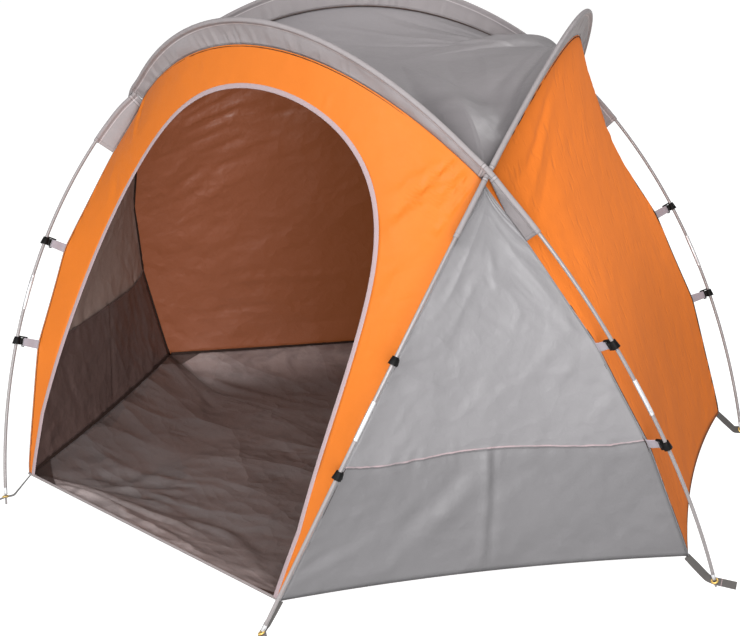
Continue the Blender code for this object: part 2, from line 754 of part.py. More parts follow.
def make_sleeve(name, pole, parts, walls, sides):
    """A sleeve along one or more parts of the pole, joined end to end, as a strip of thick cloth."""
    half = ARCH.total() / 2
    rows = []
    for part in parts:
        lengths, feet = run_stations(pole, part, walls, sides)
        points, _, across, out = stations(pole, lengths)
        kept = np.abs(lengths - half) <= half - SLEEVE_END + FIT_GAP
        rows += [sleeve_row(*row) for row in zip(points[kept], feet[kept], across[kept], out[kept])]
    rows = np.array(rows)
    made = add_mesh(name, rows, grid_faces(*rows.shape[:2]), "grey", PARTS)
    thick = made.modifiers.new("cloth", "SOLIDIFY")
    thick.thickness = SLEEVE_CLOTH
    thick.offset = 0
    thick.use_even_offset = True


def run_stations(pole, part, walls, sides):
    """Lengths along the whole arch of one part's stations, rising, with the foot of the fin at each."""
    total = ARCH.total()
    if part == "top":
        lengths = top_lengths()
        directions = [rows[1:-1] for rows in panel_directions(pole, part, walls, sides)]
    elif part == "right":
        lengths = leg_lengths()
        directions = [rows[::-1][1:-1] for rows in panel_directions(pole, part, walls, sides)]
    elif part == "left":
        lengths = (total - leg_lengths())[::-1]
        directions = [rows[1:-1] for rows in panel_directions(pole, part, walls, sides)]
    else:
        place = ARCH.crossing if part == "over_right" else total - ARCH.crossing
        lengths = place + CROSSING_HALF * np.array([-1, 0, 1])
        points, _, _, out = stations(pole, lengths)
        return lengths, points - out * CROSSING_DEPTH
    _, seam, _, out = stations(pole, lengths)
    return lengths, seam + out * fin_lift(out, directions)[:, None]


def make_sleeves(walls, sides):
    """One sleeve for each stretch of pole between the places where another pole lies on top of it."""
    make_sleeve("sleeve_1", 0, ["left", "over_left", "top", "over_right", "right"], walls, sides)
    make_sleeve("sleeve_2", 1, ["top", "over_right", "right"], walls, sides)
    make_sleeve("sleeve_3", 2, ["top"], walls, sides)
    make_sleeve("leg_sleeve_2", 1, ["left"], walls, sides)
    make_sleeve("leg_sleeve_4", 2, ["left"], walls, sides)
    make_sleeve("leg_sleeve_1", 2, ["right"], walls, sides)


# For each pole, 1 where it lies over the other pole at its crossing to the right and to the left, or -1 under it
OVER = ((1, 1), (1, -1), (-1, -1))
# Pole, side and number of each foot
FEET = ((0, 1, 3), (0, -1, 6), (1, -1, 2), (1, 1, 5), (2, -1, 4), (2, 1, 1))


def make_ferrules():
    """A short metal tube round each leg, where two pole sections join."""
    total = ARCH.total()
    half = (FERRULE_SPAN[1] - FERRULE_SPAN[0]) / 2 - FERRULE_RELIEF
    hole = circle((POLE_RADIUS + FIT_GAP) / math.cos(math.pi / ROUND_SIDES))
    for pole, side, foot in FEET:
        ends = np.array(FERRULE_SPAN)
        ends = total - ends if side > 0 else ends
        low, high = pole_points(pole, ends)
        axis = unit(high - low)
        across = unit(np.cross(axis, [0, 0, 1.0]))
        place = placed((low + high) / 2, across, np.cross(axis, across), axis)
        extruded(f"ferrule_{foot}", [circle(FERRULE_RADIUS), hole], half, place, "metal")


def clip_outline(reach):
    """A ring round the pole, an arm towards the cloth and a thin webbing tab that ends at the seam."""
    opening = math.asin(CLIP_ARM_HALF / CLIP_RADIUS)
    angles = np.linspace(opening - math.pi / 2, 1.5 * math.pi - opening, 10)
    ring = np.stack([np.cos(angles), np.sin(angles)], axis=1) * CLIP_RADIUS
    left = [[-CLIP_ARM_HALF, -CLIP_ARM], [-TAB_HALF, -CLIP_ARM], [-TAB_HALF, -reach]]
    right = [[TAB_HALF, -reach], [TAB_HALF, -CLIP_ARM], [CLIP_ARM_HALF, -CLIP_ARM]]
    return np.concatenate([ring, left, right])


def make_clips():
    """Two plastic clips on each leg, each on a webbing tab sewn to the seam."""
    total = ARCH.total()
    hole = circle((POLE_RADIUS + FIT_GAP) / math.cos(math.pi / ROUND_SIDES))
    for pole, side, foot in FEET:
        for name, place in zip(("lower", "upper"), CLIP_PLACES):
            around = np.array([place - CLIP_STEP, place + CLIP_STEP])
            lengths = total - around if side > 0 else around
            ends = stations(pole, lengths)
            point = ends[0].mean(axis=0)
            axis = unit(ends[0][1] - ends[0][0])
            seam = turned(ARCH.read(ARCH.seam, lengths), pole).mean(axis=0)
            out = square_to(point - seam, axis)
            reach = (point - seam) @ out - 2 * FIT_GAP
            matrix = placed(point, np.cross(out, axis), out, axis)
            loops = [clip_outline(reach), hole]
            extruded(f"clip_{foot}_{name}", loops, CLIP_WIDTH / 2, matrix, "black_plastic")


def strap_rows(corner, tip):
    """Both edges of a strap: from the corner of the floor down to the pole's tip, and on to a peg loop."""
    outward = unit(tip * np.array([1, 1, 0]))
    half = np.cross([0, 0, 1.0], outward) * STRAP_WIDTH / 2
    centre = tip * np.array([1, 1, 0])
    down = unit(centre + [0, 0, TIP_LIFT + STRAP_LEVEL] - corner)
    path = [corner + down * (SEAM_GAP + STRAP_THICKNESS / 2)]
    path += [centre + outward * reach + [0, 0, height] for reach, height in STRAP_STOPS]
    widths = [STRAP_NARROW, 1, 1, 1, 1]
    return np.array([[point - half * share, point + half * share] for point, share in zip(path, widths)])


def eyelet_cutter(name, tip, axis):
    """A cylinder along the pole's end that cuts the eyelet's hole."""
    hole = bmesh.new()
    size = {"radius1": STRAP_HOLE, "radius2": STRAP_HOLE, "depth": TIP_LENGTH}
    bmesh.ops.create_cone(hole, cap_ends=True, segments=ROUND_SIDES, **size)
    mesh = bpy.data.meshes.new(name)
    hole.to_mesh(mesh)
    hole.free()
    cutter = bpy.data.objects.new(name, mesh)
    across = unit(np.cross(axis, [1.0, 0, 0]))
    cutter.matrix_world = placed(tip, np.cross(across, axis), across, axis)
    CUTTERS.objects.link(cutter)
    cutter.hide_render = True
    cutter.display_type = "WIRE"
    return cutter


def make_straps():
    """A webbing strap from each corner of the floor down to the pole's tip, and on into a peg loop."""
    total = ARCH.total()
    for pole, side, foot in FEET:
        corner = turned(seam_leg(side)[-1], pole)
        ends = np.array([total, total - STRAP_AXIS]) if side > 0 else np.array([0, STRAP_AXIS])
        tip, above = pole_points(pole, ends)
        rows = strap_rows(corner, tip)
        made = add_mesh(f"strap_{foot}", rows, grid_faces(*rows.shape[:2]), "webbing", PARTS)
        thick = made.modifiers.new("webbing", "SOLIDIFY")
        thick.thickness = STRAP_THICKNESS
        thick.offset = 0
        cut(made, eyelet_cutter(f"eyelet_cutter_{foot}", tip, unit(above - tip)))


clear_scene()
PARTS = new_collection("beach_shelter")
CUTTERS = new_collection("cutters")
WALLS, SIDE_WALLS = make_panels()
make_doorway()
for number in range(3):
    make_pole(number)
make_sleeves(WALLS, SIDE_WALLS)
make_ferrules()
make_clips()
make_straps()
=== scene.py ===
import math

import bmesh
import bpy
import numpy as np
from mathutils import Matrix, Vector


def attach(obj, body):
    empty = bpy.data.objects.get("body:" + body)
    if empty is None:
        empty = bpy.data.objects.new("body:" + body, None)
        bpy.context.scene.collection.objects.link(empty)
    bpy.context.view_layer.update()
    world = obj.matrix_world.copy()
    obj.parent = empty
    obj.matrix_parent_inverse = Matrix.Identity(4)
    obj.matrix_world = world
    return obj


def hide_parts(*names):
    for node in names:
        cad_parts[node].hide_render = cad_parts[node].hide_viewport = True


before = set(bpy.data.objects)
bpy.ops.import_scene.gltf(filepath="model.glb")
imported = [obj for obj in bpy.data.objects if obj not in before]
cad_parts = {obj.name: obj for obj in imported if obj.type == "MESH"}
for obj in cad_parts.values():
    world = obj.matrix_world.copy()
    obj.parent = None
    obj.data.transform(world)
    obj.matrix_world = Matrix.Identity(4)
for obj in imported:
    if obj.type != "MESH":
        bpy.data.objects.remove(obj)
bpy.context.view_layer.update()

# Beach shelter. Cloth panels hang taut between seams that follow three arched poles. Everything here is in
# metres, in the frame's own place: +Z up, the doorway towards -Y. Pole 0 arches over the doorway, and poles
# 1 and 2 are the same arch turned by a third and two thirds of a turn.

# Poles, as the frame has them
FOOT_RADIUS = 1.22
FOOT_TURN = math.radians(91.8)
POLE_HEIGHT = 1.47
POLE_LEAN = 0.542
ARC_POWER = 1.04
ARC_BOW = 0.084
POLE_RADIUS = 0.00475
TIP_LENGTH = 0.03
TIP_LIFT = 0.0006
CROSSING_SPREAD = 0.007
CROSSING_REACH = 0.05
CLIP_PLACES = {"lower": 0.50, "upper": 0.82}
CLIP_SCALE = 1.2
STRAP_WIDTH = 0.025
STRAP_SWING = math.radians(28)
STRAP_RISE = 0.023
# Degrees that a strap is rolled to one side, by its foot, and for every other foot
STRAP_ROLL = {1: 13, 4: 50}
USUAL_ROLL = 27
FERRULE_SPAN = (0.598, 0.708)
SLEEVE_END = 1.17

# Distance from the pole's centre line in to the seam
DROP_AT_CROSSING = 0.039
DROP_AT_TOP = 0.0775
DROP_ON_LEG = 0.064
DROP_AT_FOOT = 0.0745
DROP_RAMP = 0.12
FOOT_FLARE_HEIGHT = 0.6
SCALLOP = 0.008
HELD_AT = (0.12, 0.50, 0.82, 1.17)

# Cloth
HEM_HEIGHT = 0.08
HEM_CUT_SIDE = 0.025
HEM_CUT_REAR = 0.035
HEM_RISE = 0.008
CLOTH = 0.0005
FLOOR_REACH = 0.30
FLOOR_POWER = 1.7
POCKET_HEIGHT = 0.361
POCKET_BOW = 0.25
DOOR_TOP = 1.28
DOOR_HALF_WIDTH = 0.567
DOOR_POWER = 5.3
DOOR_TUCK = 0.025
DOOR_TUCK_RISE = 0.15
BINDING_WIDTH = 0.014
ROOF_RISE = 0.033
# Height of the roof's bulge before each low corner, by the corner's direction in degrees
ROOF_BULGES = {-30: 0.006, 90: 0.030, 210: 0.020}

THIRD_TURN = 2 * math.pi / 3
MIRROR = np.array([0.5, math.sqrt(3) / 2, 0])
# For each pole, at its right and its left crossing: 1 where it lies over the other pole, and -1 under it
OVER = ((1, 1), (1, -1), (-1, -1))
# Pole, side and number of each foot
FEET = ((0, 1, 3), (0, -1, 6), (1, -1, 2), (1, 1, 5), (2, -1, 4), (2, 1, 1))


# Small vector helpers
def unit(rows):
    """Each row at unit length. A row of zeros stays as it is."""
    return rows / np.maximum(np.linalg.norm(rows, axis=-1, keepdims=True), 1e-12)


def turned(points, thirds):
    """The points turned about +Z by a number of thirds of a turn."""
    angle = THIRD_TURN * thirds
    cos, sin = math.cos(angle), math.sin(angle)
    return points @ np.array([[cos, -sin, 0], [sin, cos, 0], [0, 0, 1]]).T


def square_to(rows, tangents):
    """The part of each row that is square to its tangent, at unit length."""
    return unit(rows - (rows * tangents).sum(axis=-1, keepdims=True) * tangents)


def smooth(share):
    """0 below 0, 1 above 1, and 3 share^2 - 2 share^3 between."""
    share = np.clip(share, 0, 1)
    return share * share * (3 - 2 * share)


def gone(points, axis):
    """Distance gone along an axis of a grid of points, from its start."""
    steps = np.linalg.norm(np.diff(points, axis=axis), axis=-1)
    start = np.zeros_like(np.take(steps, [0], axis=axis))
    return np.concatenate([start, np.cumsum(steps, axis=axis)], axis=axis)


# Curves of pole 0
class Arch:
    """The centre line of a pole and the seam below it, finely sampled. Lengths run from the left foot.

    At turn t, from -90 to 90 degrees, the centre line is at half span * sin t along and height *
    cos t ** power up. It leans out in step with its height, plus a small bow.
    """

    def __init__(self):
        turns = np.linspace(-math.pi / 2, math.pi / 2, 8001)
        half_span = FOOT_RADIUS * math.sin(FOOT_TURN)
        back = FOOT_RADIUS * math.cos(FOOT_TURN)
        rise = np.maximum(np.cos(turns), 0) ** ARC_POWER
        lean = back + (POLE_LEAN - back) * (rise + ARC_BOW * rise * (1 - rise))
        self.pole = np.stack([np.sin(turns) * half_span, -lean, rise * POLE_HEIGHT], axis=1)
        self.length = gone(self.pole, 0)
        self.total = self.length[-1]
        up = np.array([0, back - POLE_LEAN, POLE_HEIGHT])
        tangents = unit(np.gradient(self.pole, axis=0))
        inward = unit(np.cross(unit(np.cross([1.0, 0, 0], up)), tangents))
        inward *= -np.sign(inward[len(turns) // 2] @ up)
        self.crossing = self.where_symmetric(self.pole)
        self.seam = self.pole + inward * self.drops()[:, None]
        self.seam_crossing = self.where_symmetric(self.seam)
        half = len(turns) // 2
        self.corner = np.interp(-HEM_HEIGHT, -self.seam[half:, 2], self.length[half:])
        tangent = self.read(tangents, self.crossing)[0]
        square = unit(np.cross(tangent, tangent - 2 * (tangent @ MIRROR) * MIRROR))
        self.stack = square * np.sign(square[2])

    def where_symmetric(self, points):
        """The length at which a curve meets the mirror plane that it shares with the next pole."""
        side = points @ MIRROR
        last = np.flatnonzero((side[:-1] < 0) & (side[1:] >= 0))[-1]
        part = -side[last] / (side[last + 1] - side[last])
        return self.length[last] + part * (self.length[last + 1] - self.length[last])

    def drops(self):
        """Distance from pole to seam: widest over the doorway, narrow at a crossing, wide again on a leg.

        A leg's seam is pulled in by a half sine between each two of the places that hold it.
        """
        side = np.abs(self.pole[:, 0])
        edge = np.interp(self.crossing, self.length, self.pole[:, 0])
        top = DROP_AT_CROSSING + (DROP_AT_TOP - DROP_AT_CROSSING) * (1 - (side / edge) ** 2)
        ramp = np.sqrt(np.clip((side - edge) / DROP_RAMP, 0, 1))
        flare = np.clip(1 - self.pole[:, 2] / FOOT_FLARE_HEIGHT, 0, 1) ** 1.5
        leg = DROP_AT_CROSSING + (DROP_ON_LEG - DROP_AT_CROSSING) * ramp
        leg += (DROP_AT_FOOT - DROP_ON_LEG) * flare
        span = np.interp(np.minimum(self.length, self.total - self.length), HELD_AT, range(4))
        leg += SCALLOP * np.abs(np.sin(math.pi * span))
        return np.where(side < edge, top, leg)

    def read(self, table, lengths):
        """A table of points read at some lengths along the arch."""
        lengths = np.atleast_1d(lengths)
        return np.stack([np.interp(lengths, self.length, table[:, i]) for i in range(3)], axis=1)


ARCH = Arch()


def pole_points(pole, lengths):
    """Centre line of a pole. At a crossing the pole that lies on top stands out and the other stands in."""
    points = ARCH.read(ARCH.pole, lengths)
    right_over, left_over = OVER[pole]
    for place, over, side in ((ARCH.crossing, right_over, 1), (ARCH.total - ARCH.crossing, left_over, -1)):
        share = np.exp(-(((lengths - place) / CROSSING_REACH) ** 2))[:, None]
        points = points + ARCH.stack * [side, 1, 1] * share * over * CROSSING_SPREAD
    points[:, 2] += TIP_LIFT * np.clip(1 - points[:, 2] / 0.1, 0, 1)
    return turned(points, pole)


def stations(pole, lengths):
    """Points of the pole and the seam, and, square to the pole, the axes across the fin and out along it."""
    points = pole_points(pole, lengths)
    tangents = unit(pole_points(pole, lengths + 0.01) - pole_points(pole, lengths - 0.01))
    seam = turned(ARCH.read(ARCH.seam, lengths), pole)
    out = square_to(points - seam, tangents)
    return points, seam, np.cross(tangents, out), out


# Nets of the panels
def leg_share(rows):
    """Shares of the way up a leg seam, closer together towards the crossing."""
    share = np.linspace(0, 1, rows + 1)
    return share * (1.5 - 0.5 * share)


def top_share(columns):
    """Shares of the way along a top seam, closer together towards both crossings."""
    share = np.linspace(0, 1, columns + 1)
    return share - 0.6 * np.sin(2 * math.pi * share) / (2 * math.pi)


def leg_seam(side, shares):
    """Seam of pole 0 from the floor corner up to a crossing. Side is 1 towards +X and -1 towards -X."""
    lengths = ARCH.corner + (ARCH.seam_crossing - ARCH.corner) * shares
    return ARCH.read(ARCH.seam, lengths) * np.array([side, 1, 1])


def top_seam(shares):
    """Seam of pole 0 between its two crossings, from left to right."""
    start = ARCH.total - ARCH.seam_crossing
    return ARCH.read(ARCH.seam, start + (ARCH.seam_crossing - start) * shares)


def hem(start, end, shares, cut):
    """The lower edge of a wall: a shallow curve cut in towards the centre of the floor, and a little up."""
    line = start + (end - start) * shares[:, None]
    inward = -unit((start + end) / 2 * np.array([1, 1, 0]))
    bend = (4 * shares * (1 - shares))[:, None]
    return line + bend * (inward * cut + np.array([0, 0, HEM_RISE if cut else 0]))


def settle(net, rounds):
    """Moves a net's inner points to where the pulls of their four neighbours balance, as taut cloth does."""
    across = 1 / np.maximum(np.linalg.norm(np.diff(net, axis=1), axis=2), 1e-4) ** 2
    down = 1 / np.maximum(np.linalg.norm(np.diff(net, axis=0), axis=2), 1e-4) ** 2
    left, right = across[1:-1, :-1, None], across[1:-1, 1:, None]
    below, above = down[:-1, 1:-1, None], down[1:, 1:-1, None]
    total = left + right + below + above
    for _ in range(rounds):
        pull = left * net[1:-1, :-2] + right * net[1:-1, 2:]
        pull += below * net[:-2, 1:-1] + above * net[2:, 1:-1]
        net[1:-1, 1:-1] = pull / total
    return net


def finer(net):
    """A net with a new row and column midway between each two."""
    rows = np.repeat(net, 2, axis=0)[:-1]
    rows[1::2] = (net[1:] + net[:-1]) / 2
    both = np.repeat(rows, 2, axis=1)[:, :-1]
    both[:, 1::2] = (rows[:, 1:] + rows[:, :-1]) / 2
    return both


def taut(edges, rows, columns, doublings=3):
    """Settles a net between four edges on a coarse grid, then on grids twice as fine each time.

    Edges is a function of the numbers of rows and columns that gives the left, right, lower and upper edge.
    """
    left, right, low, high = edges(rows, columns)
    v = (gone(left, 0) / gone(left, 0)[-1])[:, None, None]
    u = (gone(low, 0) / gone(low, 0)[-1])[None, :, None]
    net = (1 - v) * low[None] + v * high[None] + (1 - u) * left[:, None] + u * right[:, None]
    net = net - (1 - v) * ((1 - u) * left[0] + u * right[0]) - v * ((1 - u) * left[-1] + u * right[-1])
    net = settle(net, 900)
    for _ in range(doublings):
        net = finer(net)
        left, right, low, high = edges(net.shape[0] - 1, net.shape[1] - 1)
        net[:, 0], net[:, -1], net[0], net[-1] = left, right, low, high
        net = settle(net, 120)
    return net


def wall_edges(cut):
    """The edges of an orange wall, between two leg seams, a hem cut in by this much and a top seam."""
    def edges(rows, columns):
        up, along = leg_share(rows), top_share(columns)
        left, right = turned(leg_seam(1, up), -1), turned(leg_seam(-1, up), 1)
        return left, right, hem(left[0], right[0], along, cut), top_seam(along)
    return edges


def side_edges(rows, columns):
    """The edges of a grey wall, between two leg seams that meet at its top."""
    left, right = turned(leg_seam(-1, leg_share(rows)), 1), leg_seam(1, leg_share(rows))
    low = hem(left[0], right[0], np.linspace(0, 1, columns + 1), HEM_CUT_SIDE)
    return left, right, low, np.repeat(left[-1:], columns + 1, axis=0)


def net_normals(net):
    """Outward normals of a net whose rows run up and whose columns run right, seen from outside."""
    normals = np.cross(np.gradient(net, axis=1), np.gradient(net, axis=0))
    if np.linalg.norm(net[-1, 0] - net[-1, -1]) < 1e-6:
        normals[-1] = normals[-2]
    return unit(normals)


class Panel:
    """A settled net with its normals and its distances in metres.

    S runs from the middle column and t up from the hem. Left, right and high are distances to those edges.
    """

    def __init__(self, net):
        self.net = net
        self.normals = net_normals(net)
        across, up = gone(net, 1), gone(net, 0)
        self.tables = {
            "s": across - across[:, -1:] / 2, "t": up, "left": across, "right": across[:, -1:] - across,
            "high": up[-1:] - up,
        }

    def read(self, table, u, v):
        """A table of the net at shares u across and v up, read between its four nearest points."""
        rows, columns = table.shape[0] - 1, table.shape[1] - 1
        x, y = np.clip(u, 0, 1) * columns, np.clip(v, 0, 1) * rows
        i, j = np.minimum(y.astype(int), rows - 1), np.minimum(x.astype(int), columns - 1)
        a, b = y - i, x - j
        if table.ndim == 3:
            a, b = a[..., None], b[..., None]
        low = table[i, j] * (1 - b) + table[i, j + 1] * b
        high = table[i + 1, j] * (1 - b) + table[i + 1, j + 1] * b
        return low * (1 - a) + high * a

    def at(self, u, v):
        """Points of the net."""
        return self.read(self.net, u, v)

    def out(self, u, v):
        """Outward normals of the net."""
        return unit(self.read(self.normals, u, v))

    def lengths(self, u, v):
        """All the distances, by name."""
        return {name: self.read(table, u, v) for name, table in self.tables.items()}

    def where(self, x, z):
        """Shares at which the net, seen along Y, is at x and z: its nearest point, then Newton's steps."""
        target, step = np.stack([x, z], axis=-1), 0.004
        seen = self.net[..., [0, 2]]
        rows, columns = seen.shape[0] - 1, seen.shape[1] - 1
        flat = seen.reshape(-1, 2)
        nearest = np.array([((flat - one) ** 2).sum(axis=1).argmin() for one in target])
        u, v = (nearest % (columns + 1)) / columns, (nearest // (columns + 1)) / rows
        for _ in range(6):
            u, v = np.clip(u, step, 1 - step), np.clip(v, step, 1 - step)
            here = self.at(u, v)[..., [0, 2]]
            along = (self.at(u + step, v)[..., [0, 2]] - self.at(u - step, v)[..., [0, 2]]) / (2 * step)
            up = (self.at(u, v + step)[..., [0, 2]] - self.at(u, v - step)[..., [0, 2]]) / (2 * step)
            miss = target - here
            size = along[..., 0] * up[..., 1] - along[..., 1] * up[..., 0]
            u = u + (miss[..., 0] * up[..., 1] - miss[..., 1] * up[..., 0]) / size
            v = v + (along[..., 0] * miss[..., 1] - along[..., 1] * miss[..., 0]) / size
        return np.clip(u, 0, 1), np.clip(v, 0, 1)


# Relief of cloth: heights out of a panel, in metres
def noise(x, y, seed):
    """Smooth noise from -1 to 1 that changes over a distance of about 1, from a seeded random table."""
    table = np.random.default_rng(seed).uniform(-1, 1, (64, 64))
    i, j = np.floor(x).astype(int), np.floor(y).astype(int)
    a, b = smooth(x - i), smooth(y - j)
    i0, i1, j0, j1 = i % 64, (i + 1) % 64, j % 64, (j + 1) % 64
    low = table[i0, j0] * (1 - a) + table[i1, j0] * a
    high = table[i0, j1] * (1 - a) + table[i1, j1] * a
    return low * (1 - b) + high * b


def warped(s, t, seed, size=0.22, amount=0.02):
    """The two lengths shifted by smooth noise, so that nothing drawn on them runs quite straight."""
    return s + amount * noise(s / size, t / size, seed), t + amount * noise(s / size, t / size, seed + 1)


def crumple(s, t, seed, height, size=0.3):
    """Three sizes of noise. The smaller two are turned, and folded into creases as 1 - 2 |noise|."""
    total = height * noise(s / size, t / size, seed)
    for turn, part, share in ((0.7, 0.42, 0.42), (2.1, 0.2, 0.17)):
        x = (s * math.cos(turn) - t * math.sin(turn)) / (size * part)
        y = (s * math.sin(turn) + t * math.cos(turn)) / (size * part * 1.7)
        total += height * share * (1 - 2 * np.abs(noise(x, y, seed + int(turn * 10))))
    return total


def folds(s, t, rows):
    """Straight or bowed folds. Each row has the two ends, a height, a width and a bow.

    Height falls off to the sides as exp(-(distance / width)^2). Along the fold it is a sine of the run's
    share to the power 0.7, so that its top lies nearer the start.
    """
    total = np.zeros_like(s)
    for s0, t0, s1, t1, height, width, bow in rows:
        run = np.array([s1 - s0, t1 - t0])
        length = np.linalg.norm(run)
        along = ((s - s0) * run[0] + (t - t0) * run[1]) / length**2
        aside = ((s - s0) * run[1] - (t - t0) * run[0]) / length
        inside = np.clip(along, 0, 1)
        aside = aside - bow * 4 * inside * (1 - inside)
        total += height * np.sin(math.pi * inside**0.7) * np.exp(-((aside / width) ** 2))
    return total


def fan(s, t, turns, lengths, height, width, count, seed):
    """Rows of folds that spread from one point, between two angles in degrees, ridge and hollow in turn."""
    random = np.random.default_rng(seed)
    angles = np.radians(np.linspace(turns[0], turns[1], count) + random.uniform(-3, 3, count))
    reach = random.uniform(*lengths, count)
    sizes = height * random.uniform(0.5, 1.0, count) * (-1.0) ** np.arange(count)
    return [
        (s, t, s + r * math.cos(a), t + r * math.sin(a), h, width * random.uniform(0.7, 1.2), 0.0)
        for a, r, h in zip(angles, reach, sizes)
    ]


def scattered(box, turn, spread, lengths, height, width, count, seed):
    """Rows of short folds over a box (s, t, s, t), near one angle in degrees: ridges, and some hollows."""
    random = np.random.default_rng(seed)
    s, t = random.uniform(box[0], box[2], count), random.uniform(box[1], box[3], count)
    angles = np.radians(turn + random.normal(0, spread, count))
    half = random.uniform(*lengths, count) / 2
    ds, dt = np.cos(angles) * half, np.sin(angles) * half
    sizes = height * random.uniform(0.4, 1.0, count) * random.choice([-1.0, 1.0, 1.0], count)
    widths = width * random.uniform(0.6, 1.5, count)
    bows = half * random.uniform(-0.15, 0.15, count)
    return list(zip(s - ds, t - dt, s + ds, t + dt, sizes, widths, bows))


def puckers(run, distance, pitch, height, reach, seed):
    """Short gathers square to a seam, which die away with the distance from it and come and go along it."""
    patch = smooth(0.35 + noise(run / (pitch * 6), distance * 0, seed + 5))
    wave = noise(run / pitch, distance / (pitch * 5), seed)
    return height * patch * wave * np.exp(-distance / reach) * smooth(distance / 0.004)


def relief(places, plan):
    """All the relief of a panel. It fades out towards the seams, which stay on their lines.

    A grey wall also stands out a little where the pocket backs it, is pulled in along the pocket's top seam,
    and has an upright ridge and hollow where the pocket is stitched through.
    """
    s, t = warped(places["s"], places["t"], plan["seed"])
    edge = np.minimum.reduce([places[name] for name in ("left", "right", "t", "high")])
    total = crumple(s, t, plan["seed"] + 20, plan["crumple"], plan["size"])
    total += folds(s, t, plan["folds"])
    total *= smooth(edge / 0.05)
    for index, (name, run) in enumerate((("left", "t"), ("right", "t"), ("high", "s"), ("t", "s"))):
        seed = plan["seed"] + 40 + 7 * index
        total += puckers(places[run], places[name], 0.02, plan["pucker"], 0.035, seed)
    if "door" in places:
        total *= smooth(places["door"] / 0.05)
    if "line" in places:
        total += puckers(places["s"], np.abs(places["line"]), 0.022, 0.0042, 0.035, plan["seed"] + 90)
        total += 0.0022 * smooth(places["line"] / 0.02) * smooth(edge / 0.05)
        total -= 0.0026 * np.exp(-((places["line"] / 0.006) ** 2)) * smooth(edge / 0.03)
        below = smooth(places["line"] / 0.01) * smooth(places["t"] / 0.05)
        total += 0.0050 * np.exp(-(((s + 0.012) / 0.014) ** 2)) * below
        total -= 0.0050 * np.exp(-(((s - 0.008) / 0.010) ** 2)) * below
    return total


# Making pieces
def new_piece(name, mesh, materials, replaces=()):
    """An object in the scene that rides the one body, and may take the place of CAD nodes."""
    made = bpy.data.objects.new(name, mesh)
    bpy.context.scene.collection.objects.link(made)
    for material in materials:
        mesh.materials.append(material)
    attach(made, "root")
    if replaces:
        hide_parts(*replaces)
    return made


def mesh_of(name, points, faces, flat=None, numbers=None, slots=None):
    """A smooth mesh. Flat gives each point its UV place in metres, and numbers are named values on points."""
    mesh = bpy.data.meshes.new(name)
    mesh.from_pydata(np.asarray(points, float).reshape(-1, 3), [], faces)
    if flat is not None:
        loops = np.empty(len(mesh.loops), np.int32)
        mesh.loops.foreach_get("vertex_index", loops)
        layer = mesh.uv_layers.new(name="cloth")
        layer.data.foreach_set("uv", np.asarray(flat, np.float32).reshape(-1, 2)[loops].ravel())
    for key, values in (numbers or {}).items():
        layer = mesh.attributes.new(key, "FLOAT", "POINT")
        layer.data.foreach_set("value", np.asarray(values, np.float32).ravel())
    if slots is not None:
        mesh.polygons.foreach_set("material_index", np.asarray(slots, np.int32))
    mesh.shade_smooth()
    return mesh


def grid_faces(rows, columns, start=0, wrap=False, flip=False):
    """Squares of a grid of points, seen from the side where rows go up and columns go right."""
    index = start + np.arange(rows * columns).reshape(rows, columns)
    if wrap:
        index = np.concatenate([index, index[:, :1]], axis=1)
    faces = np.stack([index[:-1, :-1], index[:-1, 1:], index[1:, 1:], index[1:, :-1]], axis=-1).reshape(-1, 4)
    return faces[:, ::-1] if flip else faces


def welded(mesh, distance=2e-5, face_out=False):
    """Merges points that lie together, such as a row that shrinks to a point, and may turn all faces out."""
    tidy = bmesh.new()
    tidy.from_mesh(mesh)
    bmesh.ops.remove_doubles(tidy, verts=tidy.verts, dist=distance)
    if face_out:
        bmesh.ops.recalc_face_normals(tidy, faces=tidy.faces)
    tidy.to_mesh(mesh)
    tidy.free()
    return mesh


def closed_mesh(*shape):
    """The mesh of a closed shape, with its doubles merged and its faces turned out."""
    return welded(mesh_of(*shape), 2e-6, face_out=True)


def sheet_piece(name, node, mesh, pair, flat):
    """A sheet of cloth in place of a CAD node, thickened inwards, with a material for each face."""
    piece = new_piece(name, mesh, [MATERIALS[key] for key in pair], [node])
    modifier = piece.modifiers.new("cloth", "SOLIDIFY")
    modifier.thickness = CLOTH
    modifier.offset = -1.0
    modifier.use_even_offset = False
    modifier.material_offset = 1
    return piece


def swept(points, across, out, profile):
    """A closed profile carried along a path: point + across * x + out * y. It may change on the way."""
    profile = np.broadcast_to(profile, (len(points),) + np.shape(profile)[-2:])
    grid = points[:, None] + across[:, None] * profile[..., :1] + out[:, None] * profile[..., 1:]
    rows, columns = grid.shape[:2]
    faces = grid_faces(rows, columns, wrap=True).tolist()
    faces.append(list(range(columns))[::-1])
    faces.append(list(range((rows - 1) * columns, rows * columns)))
    along = np.repeat(gone(points, 0)[:, None], columns, axis=1)
    around = np.concatenate([[0], np.cumsum(np.linalg.norm(np.diff(profile[0], axis=0), axis=1))])
    flat = np.stack([along, np.broadcast_to(around, along.shape)], axis=-1)
    return grid.reshape(-1, 3), faces, flat.reshape(-1, 2)


def joined(parts):
    """Several swept shapes as one list of points, faces and flat places."""
    points, faces, flat, start = [], [], [], 0
    for some, its_faces, its_flat in parts:
        points.append(some)
        flat.append(its_flat)
        faces += [[start + corner for corner in face] for face in its_faces]
        start += len(some)
    return np.concatenate(points), faces, np.concatenate(flat)


def circle(radius, sides):
    """Corners of a regular polygon, counter-clockwise."""
    angles = np.arange(sides) * 2 * math.pi / sides
    return np.stack([np.cos(angles), np.sin(angles)], axis=1) * radius


